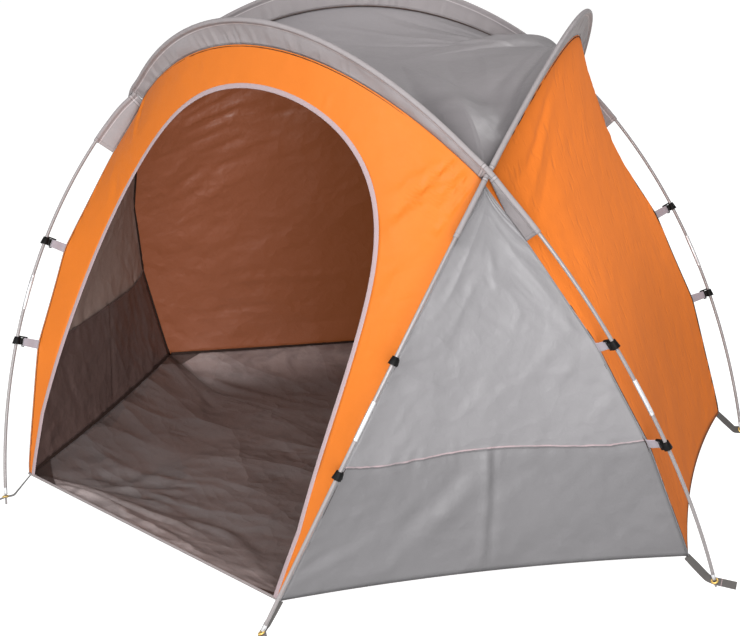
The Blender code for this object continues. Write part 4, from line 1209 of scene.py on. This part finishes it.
def make_roof(rings=52, columns=108):
    """The roof, with painted shade towards its corners and in a narrow band along its edge."""
    base = roof_points(rings, columns)
    normals = ring_normals(base)
    edge = np.array([[np.linalg.norm(base[-1] - point, axis=1).min() for point in ring] for ring in base])
    x, y = warped(base[..., 0], base[..., 1], 71)
    height = crumple(x, y, 72, 0.003) + folds(x, y, ROOF_FOLDS)
    height *= smooth(edge / 0.05)
    run = np.broadcast_to(gone(base[-1], 0), edge.shape)
    height += puckers(run, edge, 0.022, 0.0016, 0.04, 75)
    height[0] = height[0].mean()
    points = base + normals * height[..., None]
    corners = sum(towards(base[-1], direction) for direction in ROOF_BULGES)
    # Painted shade: darker towards the three low corners and in a band along the edge under the fins.
    fade = 0.55 * corners[None] * (1 - smooth(edge / 0.30)) + 0.2 * np.exp(-edge / 0.03)
    mesh = mesh_of(
        "roof_cloth", points, grid_faces(rings + 1, 3 * columns, wrap=True, flip=True), base[..., :2],
        {"edge": edge, "run": run, "fade": fade},
    )
    pair = ("roof", "pocket_inside")
    sheet_piece("roof_cloth", "roof", welded(mesh), pair, (1.5, 1.35))


# Floor
def hem_line(panels, sides, columns):
    """The hem all round, counter-clockwise from the front wall's left corner."""
    share = np.linspace(0, 1, columns + 1)[:-1]
    zero = np.zeros(columns)
    rows = []
    for k in range(3):
        rows.append(turned(panels[k].at(share, zero), k))
        rows.append(turned(sides.at(share, zero), k))
    return np.concatenate(rows)


FLOOR_FOLDS = [
    (-0.52, -0.90, 0.10, -0.78, 0.014, 0.024, 0.03), (-0.54, -0.84, -0.05, -0.62, 0.013, 0.024, -0.02),
    (-0.45, -0.95, 0.32, -0.93, 0.013, 0.020, 0.02), (0.45, -0.90, -0.10, -0.70, 0.010, 0.024, 0.02),
    (-0.62, -0.72, -0.20, -0.48, 0.012, 0.024, 0.02), (-0.30, -0.86, 0.25, -0.64, 0.010, 0.022, 0.02),
    (-0.50, -0.97, 0.05, -0.87, 0.010, 0.016, 0.02), (-0.40, -0.76, 0.20, -0.74, 0.009, 0.020, 0.01),
]
FLOOR_FOLDS += scattered((-0.9, -0.85, 0.9, 0.7), 15, 50, (0.08, 0.26), 0.005, 0.016, 70, 95)
for corner in range(6):
    angle = 60 * corner
    place = (1.08 * math.cos(math.radians(angle)), 1.08 * math.sin(math.radians(angle)))
    FLOOR_FOLDS += fan(*place, (angle + 152, angle + 208), (0.25, 0.6), 0.007, 0.020, 7, 90 + corner)


def make_floor(panels, sides, columns=66, rings=72):
    """The groundsheet: flat on the ground in the middle, then curving up to the hem, steepest there."""
    edge = hem_line(panels, sides, columns)
    outwards = unit(edge * [1, 1, 0])
    foot = edge * [1, 1, 0] - outwards * FLOOR_REACH
    middle = foot[None] * np.linspace(0, 1, rings - 21)[:-1, None, None] ** 0.8
    share = np.linspace(0, 1, 23)[:, None, None]
    rim = foot + (edge - foot) * np.concatenate([share, share, share**FLOOR_POWER], axis=2)
    base = np.concatenate([middle, rim])
    x, y = warped(base[..., 0], base[..., 1], 81, 0.3, 0.04)
    height = crumple(x, y, 83, 0.006, 0.3) + folds(x, y, FLOOR_FOLDS)
    height = 0.0035 + 0.5 * (height + np.sqrt(height**2 + 0.003**2))
    distance = gone(base[::-1], 0)[::-1]
    height = height * smooth(distance / 0.06)
    height[0] = height[0].mean()
    points = base + height[..., None] * [0, 0, 1]
    run = np.broadcast_to(gone(edge, 0), distance.shape)
    turns = np.radians(60 * np.arange(6))
    reach = base[..., 0, None] * np.cos(turns) + base[..., 1, None] * np.sin(turns)
    # Painted light on the groundsheet: paler along the hems below the three orange walls, gone by 0.27 m in.
    share = np.tile(np.linspace(0, 1, columns + 1)[:-1], 6)
    orange = np.arange(6 * columns) // columns % 2 == 0
    below_wall = smooth(np.minimum(share, 1 - share) / 0.08) * orange
    rim = below_wall * (1 - smooth((distance - 0.05) / 0.22))
    numbers = {"edge": distance, "run": run, "patch": 1.075 - reach.max(axis=-1), "rim": rim}
    faces = grid_faces(len(points), 6 * columns, wrap=True, flip=True)
    mesh = welded(mesh_of("groundsheet_cloth", points, faces, base[..., :2], numbers))
    sheet_piece(
        "groundsheet_cloth", "floor", mesh, ("floor", "floor_below"), (2.35, 2.1),
    )


# Pockets
def make_pocket(k, panel, rows=44, columns=100):
    """A second layer of cloth low on the inside of a side wall, open at its top."""
    shares = np.linspace(0, 1, len(panel.net))
    below = pocket_line(panel.tables)
    tops = np.array([np.interp(0, -column, shares) for column in below.T])
    u = np.linspace(0.012, 0.988, columns + 1)
    high = np.interp(u, np.linspace(0, 1, len(tops)), tops)
    v = 0.003 + (high - 0.003)[None] * np.linspace(0, 1, rows + 1)[:, None]
    u = np.broadcast_to(u, v.shape)
    places = side_places(panel, u, v)
    s, t = warped(places["s"], places["t"], 31 + k)
    ends = smooth(np.minimum(places["left"], places["right"]) / 0.05)
    gap = 0.002 + 0.007 * smooth(places["t"] / POCKET_HEIGHT) * np.sin(math.pi * u) ** 2
    gap += (crumple(s, t, 33 + k, 0.0016, 0.2) + 0.8 * folds(s, t, POCKET_STREAKS)) * ends
    wall = "side_wall_" + SIDES[k]
    inside = relief(places, PLANS[wall])
    points = panel.at(u, v) + panel.out(u, v) * (inside - CLOTH - np.maximum(gap, 0.0012))[..., None]
    name = f"pocket_{SIDES[k]}"
    flat = np.stack([places["s"], places["t"]], axis=-1)
    numbers = {"edge": places["t"].max(axis=0) - places["t"], "run": places["s"]}
    mesh = mesh_of(name + "_cloth", turned(points, k), grid_faces(rows + 1, columns + 1), flat, numbers)
    sheet_piece(
        name + "_cloth", name, mesh, ("pocket", "pocket_inside"), cut_size(places),
    )


# Seams
def seam_lines():
    """Every seam between two panels, in place: two leg seams and the top seam of each pole."""
    shares = np.linspace(0, 1, 181)
    lines = []
    for pole in range(3):
        lines += [turned(leg_seam(side, shares), pole) for side in (1, -1)]
        lines.append(turned(top_seam(shares), pole))
    return lines


def along_line(line, inwards, profile):
    """A profile carried along a line, shifted towards the middle of the shelter."""
    tangents = unit(np.gradient(line, axis=0))
    inner = square_to(np.array([0, 0, 0.55]) - line, tangents)
    return swept(line + inner * inwards, np.cross(inner, tangents), inner, profile)


def make_seams(panels, sides):
    """Seam cords outside, the top ones dark as painted shade, bound seam allowances inside, and a front hem
    tape.
    """
    lines = seam_lines()
    tops, legs = lines[2::3], [line for index, line in enumerate(lines) if index % 3 != 2]
    # The top seam cords are dark as painted shade along the fins' feet; the leg cords are a little darker
    # grey.
    for name, some, radius, key in (("top", tops, 0.0011, "seam_shade"), ("leg", legs, 0.0010, "leg_cord")):
        parts = joined([along_line(line, -0.0004, circle(radius, 6)) for line in some])
        mesh = closed_mesh(f"{name}_seam_cord", *parts)
        new_piece(f"{name}_seam_cord", mesh, [MATERIALS[key]])
    hems = hem_line(panels, sides, 60)
    lines += [np.roll(hems, -60 * index, axis=0)[:60] for index in range(1, 6)]
    parts = joined([along_line(line, 0.0035, rounded_strip(0.010, 0.0012, 2)) for line in lines])
    mesh = closed_mesh("inner_seam_tape", *parts)
    new_piece("inner_seam_tape", mesh, [MATERIALS["dark_tape"]])
    front = hems[:61] + [0, -0.0012, 0.002]
    parts = along_line(front, 0.0, rounded_strip(0.0022, 0.0062))
    new_piece("front_hem_tape", closed_mesh("front_hem_tape", *parts), [MATERIALS["hem_tape"]])


# Sleeves
RING_TURNS = np.radians(np.linspace(-150, 150, 17))


def sleeve_section(points, foot, across, out, bulge, lean, pleat):
    """A sleeve's section: up one face of the fin from its foot, round the pole and down the other face.

    Bulge is how far the two faces stand apart between the foot and the neck. Lean pushes both to one side in
    the middle, and pleat does so close to the foot.
    """
    depth = ((points - foot) * out).sum(axis=1)[:, None, None]
    radius = POLE_RADIUS + 0.0028
    neck = np.minimum(0.0118, depth - 0.0006)
    share = np.linspace(0, 1, 10)[None, :, None]
    swell = np.sin(math.pi * share) ** 0.8
    along = -(depth + (neck - depth) * share)
    half = 0.0009 + bulge[:, None, None] * swell
    shift = lean[:, None, None] * swell + pleat[:, None, None] * np.sin(math.pi * share**0.5)
    up = points[:, None] + out[:, None] * along + across[:, None] * (shift - half)
    down = (points[:, None] + out[:, None] * along + across[:, None] * (shift + half))[:, ::-1]
    ring = points[:, None] + radius * (
        np.sin(RING_TURNS)[None, :, None] * across[:, None] + np.cos(RING_TURNS)[None, :, None] * out[:, None]
    )
    return np.concatenate([up, ring, down], axis=1)


def make_sleeve(name, pole, start, end):
    """A pole sleeve between two lengths along the arch, narrow where it passes over a crossing."""
    count = max(50, int((end - start) / 0.0055))
    lengths = np.linspace(start, end, count)
    points, seam, across, out = stations(pole, lengths)
    crossings = (ARCH.crossing, ARCH.total - ARCH.crossing)
    for place, over, leg in zip(crossings, OVER[pole], (1, -1)):
        if over > 0:
            past = (lengths - place) * leg
            room = 0.0160 + np.where(past > 0, 0.40, 2.5) * np.abs(past)
            seam = seam + out * np.maximum(((points - seam) * out).sum(axis=1) - room, 0)[:, None]
    foot = seam + out * 0.0015
    seed = 100 + pole * 10 + int(start * 10)
    pitches = (0.06, 0.16, 0.03, 0.012, 0.11)
    waves = [noise(lengths / pitch, lengths * 0, seed + index) for index, pitch in enumerate(pitches)]
    bulge = 0.0012 + 0.0012 * waves[0]
    lean = 0.0035 * waves[1] + 0.0014 * waves[2]
    pleat = 0.0022 * waves[3] * smooth(0.4 + waves[4])
    ends = smooth(np.minimum(lengths - start, end - lengths) / 0.02)
    grid = sleeve_section(points, foot, across, out, bulge * ends, lean * ends, pleat * ends)
    around = gone(grid, 1)
    along = np.broadcast_to(lengths[:, None], around.shape)
    edge_end = np.minimum(lengths - start, end - lengths)[:, None] + np.zeros_like(around)
    # Gap and neck place the sleeve's painted highlights and painted shadow lines.
    gap = np.min([np.abs(lengths - place) for place in crossings], axis=0)[:, None] + np.zeros_like(around)
    neck = np.minimum(np.abs(around - around[:, 9:10]), np.abs(around - around[:, 27:28]))
    flat = np.stack([along, around], axis=-1)
    from_foot = np.minimum(around, around[:, -1:] - around)
    edge = np.minimum(from_foot + 0.0125, edge_end + 0.006)
    numbers = {"edge": edge, "run": along, "gap": gap, "neck": neck}
    mesh = mesh_of(name, grid, grid_faces(*grid.shape[:2]), flat, numbers)
    sheet_piece(
        name + "_cloth", name, mesh, ("sleeve", "sleeve"),
        (float(around[:, -1].max()), float(end - start)),
    )


def make_sleeves():
    """Every sleeve. One that passes under another pole ends near to each side of the crossing."""
    total, cross = ARCH.total, ARCH.crossing
    near = 0.0015
    make_sleeve("sleeve_1", 0, SLEEVE_END, total - SLEEVE_END)
    make_sleeve("sleeve_2", 1, total - cross + near, total - SLEEVE_END)
    make_sleeve("sleeve_3", 2, total - cross + near, cross - near)
    make_sleeve("leg_sleeve_2", 1, SLEEVE_END, total - cross - near)
    make_sleeve("leg_sleeve_4", 2, SLEEVE_END, total - cross - near)
    make_sleeve("leg_sleeve_1", 2, cross + near, total - SLEEVE_END)


# Poles and what they carry
def make_pole(pole):
    """A rod with a steel collar and a thin pin at each end."""
    total = ARCH.total
    collar = 0.05
    ends = [0, 0.0008, 0.004, TIP_LENGTH - 0.0005, TIP_LENGTH, TIP_LENGTH + 0.0008, collar - 0.0008, collar]
    ends = np.array(ends)
    radii = np.array([0.0018, 0.0026, 0.003, 0.003, 0.0046, 0.0056, 0.0056, 0.0049])
    middle = np.linspace(collar + 0.0005, total - collar - 0.0005, 460)
    lengths = np.concatenate([ends, middle, total - ends[::-1]])
    sizes = np.concatenate([radii, np.full(len(middle), POLE_RADIUS + 0.0004), radii[::-1]])
    points = pole_points(pole, lengths)
    tangents = unit(np.gradient(points, axis=0))
    across = unit(np.cross(tangents, turned(np.array([[0.0, -1, 0.6]]), pole)))
    profile = circle(1, 16)[None] * sizes[:, None, None]
    grid, faces, flat = swept(points, across, np.cross(tangents, across), profile)
    ring = np.array([min(face) // 16 for face in faces])
    from_end = np.minimum(ring, len(lengths) - 2 - ring)
    steel = (from_end >= 3) & (from_end < len(ends) - 1)
    name = f"pole_{pole + 1}"
    mesh = mesh_of(name + "_rod", grid, faces, flat, slots=steel.astype(int))
    new_piece(name + "_rod", mesh, [MATERIALS["rod"], MATERIALS["steel"]], [name])


def on_leg(side, start, end):
    """Lengths along the arch at two distances up a leg, in rising order."""
    lengths = np.array([start, end])
    return np.sort(ARCH.total - lengths) if side > 0 else lengths


def make_ferrule(pole, side, foot):
    """A steel tube round a leg's joint, rolled in at its ends and crimped near them."""
    low, high = on_leg(side, *FERRULE_SPAN)
    reach = np.array([0, 0.0004, 0.001, 0.006, 0.0068, 0.0076, 0.0084])
    half = (high - low) / 2
    offsets = np.concatenate([reach, [half], 2 * half - reach[::-1]])
    radii = np.array([0.0052, 0.0058, 0.0062, 0.0062, 0.0058, 0.0058, 0.0062])
    sizes = np.concatenate([radii, [0.0062], radii[::-1]])
    points = pole_points(pole, low + offsets)
    tangents = unit(np.gradient(points, axis=0))
    across = unit(np.cross(tangents, [0, 0, 1.0]))
    profile = circle(1, 20)[None] * sizes[:, None, None]
    grid, faces, flat = swept(points, across, np.cross(tangents, across), profile)
    name = f"ferrule_{foot}_tube"
    mesh = mesh_of(name, grid, faces, flat)
    mesh.set_sharp_from_angle(angle=math.radians(50))
    new_piece(name, mesh, [MATERIALS["tube"]], [f"ferrule_{foot}"])


def extruded(outline, low, high):
    """A flat outline between two heights along the pole, as a closed shape."""
    outline = np.asarray(outline, float)
    count = len(outline)
    rows = [np.concatenate([outline, np.full((count, 1), z)], axis=1) for z in (low, high)]
    faces = [[i, (i + 1) % count, count + (i + 1) % count, count + i] for i in range(count)]
    faces += [list(range(count))[::-1], list(range(count, 2 * count))]
    return np.concatenate(rows), faces, np.zeros((2 * count, 2))


def arc(radius, start, end, count):
    """Points of an arc about the origin, between two angles in degrees."""
    turns = np.radians(np.linspace(start, end, count))
    return np.stack([radius * np.cos(turns), radius * np.sin(turns)], axis=1)


def clip_parts():
    """A hook round the pole, its lip, a waist with thumb ridges, a frame for the webbing and an arm over it.

    X runs across the fin, Y out from the seam to the pole, and Z up along the pole.
    """
    hook = np.concatenate([arc(0.0094, -62, 190, 22), arc(0.0052, 190, -62, 22)])
    lip = np.concatenate([arc(0.0094, 190, 216, 4), [[-0.0104, -0.0072], [-0.0062, -0.0058]]])
    waist = [
        [0.0012, -0.0058], [0.0058, -0.0074], [0.0064, -0.0110], [0.0048, -0.0140], [-0.0048, -0.0140],
        [-0.0064, -0.0110], [-0.0050, -0.0066],
    ]
    parts = [extruded(hook, -0.0095, 0.0095), extruded(lip, -0.007, 0.007), extruded(waist, -0.0085, 0.0085)]
    for height in (-0.0045, 0, 0.0045):
        ridge = [[0.0060, -0.0080], [0.0074, -0.0088], [0.0074, -0.0116], [0.0056, -0.0124]]
        parts.append(extruded(ridge, height - 0.0009, height + 0.0009))
    bars = (
        (0.0030, -0.0130, -0.0152, -0.0128, 0.0128), (0.0018, -0.0186, -0.0206, -0.0128, 0.0128),
        (0.0022, -0.0132, -0.0204, -0.0130, -0.0110), (0.0022, -0.0132, -0.0204, 0.0110, 0.0130),
        (0.0026, -0.0040, -0.0250, 0.0100, 0.0136),
    )
    for half, near, far, low, high in bars:
        parts.append(extruded([[-half, near], [-half, far], [half, far], [half, near]], low, high))
    return parts


def clip_place(pole, side, place):
    """Point on the pole, axes across, out and along, and the distance in to the seam."""
    around = on_leg(side, place - 0.05, place + 0.05)
    points = pole_points(pole, around)
    point = points.mean(axis=0)
    axis = unit(points[1] - points[0])
    seam = turned(ARCH.read(ARCH.seam, around), pole).mean(axis=0)
    out = square_to(point - seam, axis)
    return point, np.cross(out, axis), out, axis, float((point - seam) @ out)


def make_clip(pole, side, foot, level):
    """A black clip on a leg, its hook a little tapered, and its tab."""
    point, across, out, axis, reach = clip_place(pole, side, CLIP_PLACES[level])
    turn = np.stack([across, out, axis])
    points, faces, flat = joined(clip_parts())
    points = points * CLIP_SCALE
    hooked = points[:, 1] > -0.009
    points[hooked, :2] *= 1 - 14 * np.clip(points[hooked, 2:], -0.012, 0.012)
    points[:, 2] *= -1 if side > 0 else 1
    name = f"clip_{foot}_{level}"
    mesh = closed_mesh(name + "_hook", points @ turn + point, faces, flat)
    hook = new_piece(name + "_hook", mesh, [MATERIALS["plastic"]], [name])
    bevel = hook.modifiers.new("soft_edges", "BEVEL")
    bevel.width = 0.0006
    bevel.segments = 2
    bevel.limit_method = "ANGLE"
    make_tab(name, point, across, out, axis, reach)


def make_tab(name, point, across, out, axis, reach):
    """The webbing tab from the clip's frame in to the seam, thicker at the frame and flared a little."""
    share = np.linspace(0, 1, 25)
    start = 0.0155 * CLIP_SCALE
    down = start + (reach - start) * share
    bend = 0.0016 * np.sin(2 * math.pi * share)
    points = point - out * down[:, None] + across * bend[:, None]
    width = 0.0246 + 0.002 * smooth(share)
    thickness = 0.0042 - 0.0018 * smooth(share * 3)
    profile = rounded_strip(1, 0.1)[None] * np.stack([width, thickness * 10], axis=-1)[:, None]
    rows = np.ones((len(share), 1))
    grid, faces, flat = swept(points, axis * rows, across * rows, profile)
    new_piece(name + "_tab", closed_mesh(name + "_tab", grid, faces, flat), [MATERIALS["tab"]])


def make_strap(pole, side, foot):
    """Webbing, rolled to one side, from the floor corner down to the eyelet at the pole's tip and on.

    The path is straight runs between its stops, rounded by taking each point to the mean of its neighbours.
    """
    corner = turned(leg_seam(side, np.zeros(1)), pole)[0]
    tip = pole_points(pole, np.array([ARCH.total if side > 0 else 0.0]))[0]
    outward = unit(tip * [1, 1, 0])
    aside = np.cross([0, 0, 1.0], outward)
    tail = outward * math.cos(STRAP_SWING) + aside * math.sin(STRAP_SWING)
    pin = np.array([ARCH.total - STRAP_RISE if side > 0 else STRAP_RISE])
    centre = pole_points(pole, pin)[0]
    stops = np.array([
        corner - outward * 0.005 - [0, 0, 0.003], centre - outward * 0.024 + [0, 0, 0.002], centre,
        centre + tail * 0.022 - [0, 0, 0.002], centre + tail * 0.060 - [0, 0, 0.006],
    ])
    length = gone(stops, 0)
    share = np.linspace(0, 1, 48)
    path = np.stack([np.interp(share * length[-1], length, stops[:, i]) for i in range(3)], axis=1)
    for _ in range(3):
        path[1:-1] = (path[:-2] + 2 * path[1:-1] + path[2:]) / 4
    tangents = unit(np.gradient(path, axis=0))
    turn = STRAP_ROLL.get(foot, USUAL_ROLL)
    roll = np.interp(share, [0, 0.5, 1], np.radians([turn + 6, turn, turn + 4]))[:, None]
    side_axis = square_to(aside * np.cos(roll) + np.array([0, 0, 1.0]) * np.sin(roll), tangents)
    width = STRAP_WIDTH * (0.90 + 0.10 * smooth(share * 4))
    sizes = np.stack([width, np.full(48, 0.0016 / 0.08)], axis=-1)
    profile = rounded_strip(1, 0.08)[None] * sizes[:, None]
    grid, faces, flat = swept(path, side_axis, np.cross(tangents, side_axis), profile)
    name = f"strap_{foot}_webbing"
    tail_run = np.repeat(length[-1] - gone(path, 0), profile.shape[1])
    mesh = closed_mesh(name, grid, faces, flat, {"tail": tail_run})
    new_piece(name, mesh, [MATERIALS["webbing"]], [f"strap_{foot}"])
    turn = math.radians(turn)
    make_eyelet(foot, centre, outward, unit(aside * math.cos(turn) + [0, 0, math.sin(turn)]))


def make_eyelet(foot, centre, outward, across):
    """A brass eyelet, a ring round the pole's tip, set in the webbing and rolled with it."""
    turns = np.linspace(0, 2 * math.pi, 33)[:-1]
    ring = np.stack([np.cos(turns), np.sin(turns)], axis=1)
    radial = ring[:, :1] * outward + ring[:, 1:] * across
    section = np.array([
        [0.0062, -0.0014], [0.0076, -0.0020], [0.0102, -0.0016], [0.0110, 0.0],
        [0.0104, 0.0022], [0.0086, 0.0036], [0.0068, 0.0034], [0.0060, 0.0014],
    ])
    axis = np.cross(outward, across)
    points = centre + radial[:, None] * section[None, :, :1] + axis * section[None, :, 1:]
    faces = grid_faces(33, 8, wrap=True) % 256
    mesh = closed_mesh(f"eyelet_{foot}", points, faces, np.zeros((256, 2)))
    new_piece(f"eyelet_{foot}", mesh, [MATERIALS["brass"]])


# Stage
CAMERA_PLACE = (3.539606, -3.662011, 2.161064)
CAMERA_AIM = (-0.074937, -0.030649, 0.484130)
CAMERA_ROLL = 0.014560
CAMERA_LENS = 83.156


def make_camera():
    """The photo's own view."""
    data = bpy.data.cameras.new("camera")
    data.lens = CAMERA_LENS
    data.sensor_width = 36
    made = bpy.data.objects.new("camera", data)
    bpy.context.scene.collection.objects.link(made)
    ahead = unit(np.subtract(CAMERA_AIM, CAMERA_PLACE))
    right = unit(np.cross(ahead, [0, 0, 1.0]))
    up = np.cross(right, ahead)
    cos, sin = math.cos(CAMERA_ROLL), math.sin(CAMERA_ROLL)
    axes = [right * cos + up * sin, up * cos - right * sin, -ahead]
    rows = [[axes[column][row] for column in range(3)] + [CAMERA_PLACE[row]] for row in range(3)]
    made.matrix_world = Matrix(rows + [[0, 0, 0, 1]])
    bpy.context.scene.camera = made


def make_light(name, place, aim, size, power):
    """A square lamp at a place, turned towards its aim."""
    data = bpy.data.lights.new(name, "AREA")
    data.size = size
    data.energy = power
    made = bpy.data.objects.new(name, data)
    made.location = place
    made.rotation_euler = (Vector(aim) - Vector(place)).to_track_quat("-Z", "Y").to_euler()
    bpy.context.scene.collection.objects.link(made)


def make_stage():
    """A plain pale floor under soft white light."""
    mesh = bpy.data.meshes.new("studio_floor")
    size = 30
    corners = [(-size, -size, 0), (size, -size, 0), (size, size, 0), (-size, size, 0)]
    mesh.from_pydata(corners, [], [(0, 1, 2, 3)])
    ground = bpy.data.objects.new("studio_floor", mesh)
    bpy.context.scene.collection.objects.link(ground)
    ground.location.z = -0.001
    pale = Shader("studio_floor", 0.9, specular=0.1)
    pale.surface.inputs["Base Color"].default_value = (0.35, 0.35, 0.35, 1)
    pale.surface.inputs["Emission Color"].default_value = (1, 1, 1, 1)
    pale.surface.inputs["Emission Strength"].default_value = 0.93
    mesh.materials.append(pale.material)
    ground.visible_diffuse = False
    world = bpy.data.worlds.new("studio")
    world.use_nodes = True
    nodes, links = world.node_tree.nodes, world.node_tree.links
    seen = nodes.new("ShaderNodeLightPath").outputs["Is Camera Ray"]
    strength = nodes.new("ShaderNodeMapRange")
    strength.inputs["To Min"].default_value = 0.234
    strength.inputs["To Max"].default_value = 1.02
    links.new(seen, strength.inputs["Value"])
    links.new(strength.outputs[0], nodes["Background"].inputs["Strength"])
    nodes["Background"].inputs["Color"].default_value = (1, 1, 1, 1)
    bpy.context.scene.world = world
    make_light("key", (3.9, -4.3, 4.5), (0, 0, 0.5), 3.6, 239)
    make_light("low_fill", (4.2, -3.5, 1.5), (0, 0, 0.5), 2.0, 215)
    make_light("front_fill", (-0.6, -6.0, 3.5), (0, 0, 0.5), 2.5, 222)
    make_light("rear_fill", (0.6, 4.6, 5.6), (0, 0, 0.8), 2.5, 245)
    bpy.context.scene.view_settings.view_transform = "Standard"


make_camera()
make_stage()
WALLS = [Panel(taut(wall_edges(cut), 24, 24)) for cut in (0, HEM_CUT_REAR)]
WALLS.append(WALLS[1])
SIDE = Panel(taut(side_edges, 14, 12))
make_front_wall(WALLS[0])
make_binding(WALLS[0])
for number in (1, 2):
    make_rear_wall(number, WALLS[number])
for number in range(3):
    make_side_wall(number, SIDE)
    make_pocket(number, SIDE)
    make_pole(number)
make_roof()
make_floor(WALLS, SIDE)
make_sleeves()
make_seams(WALLS, SIDE)
for leg in FEET:
    make_ferrule(*leg)
    make_strap(*leg)
    for level in CLIP_PLACES:
        make_clip(*leg, level)
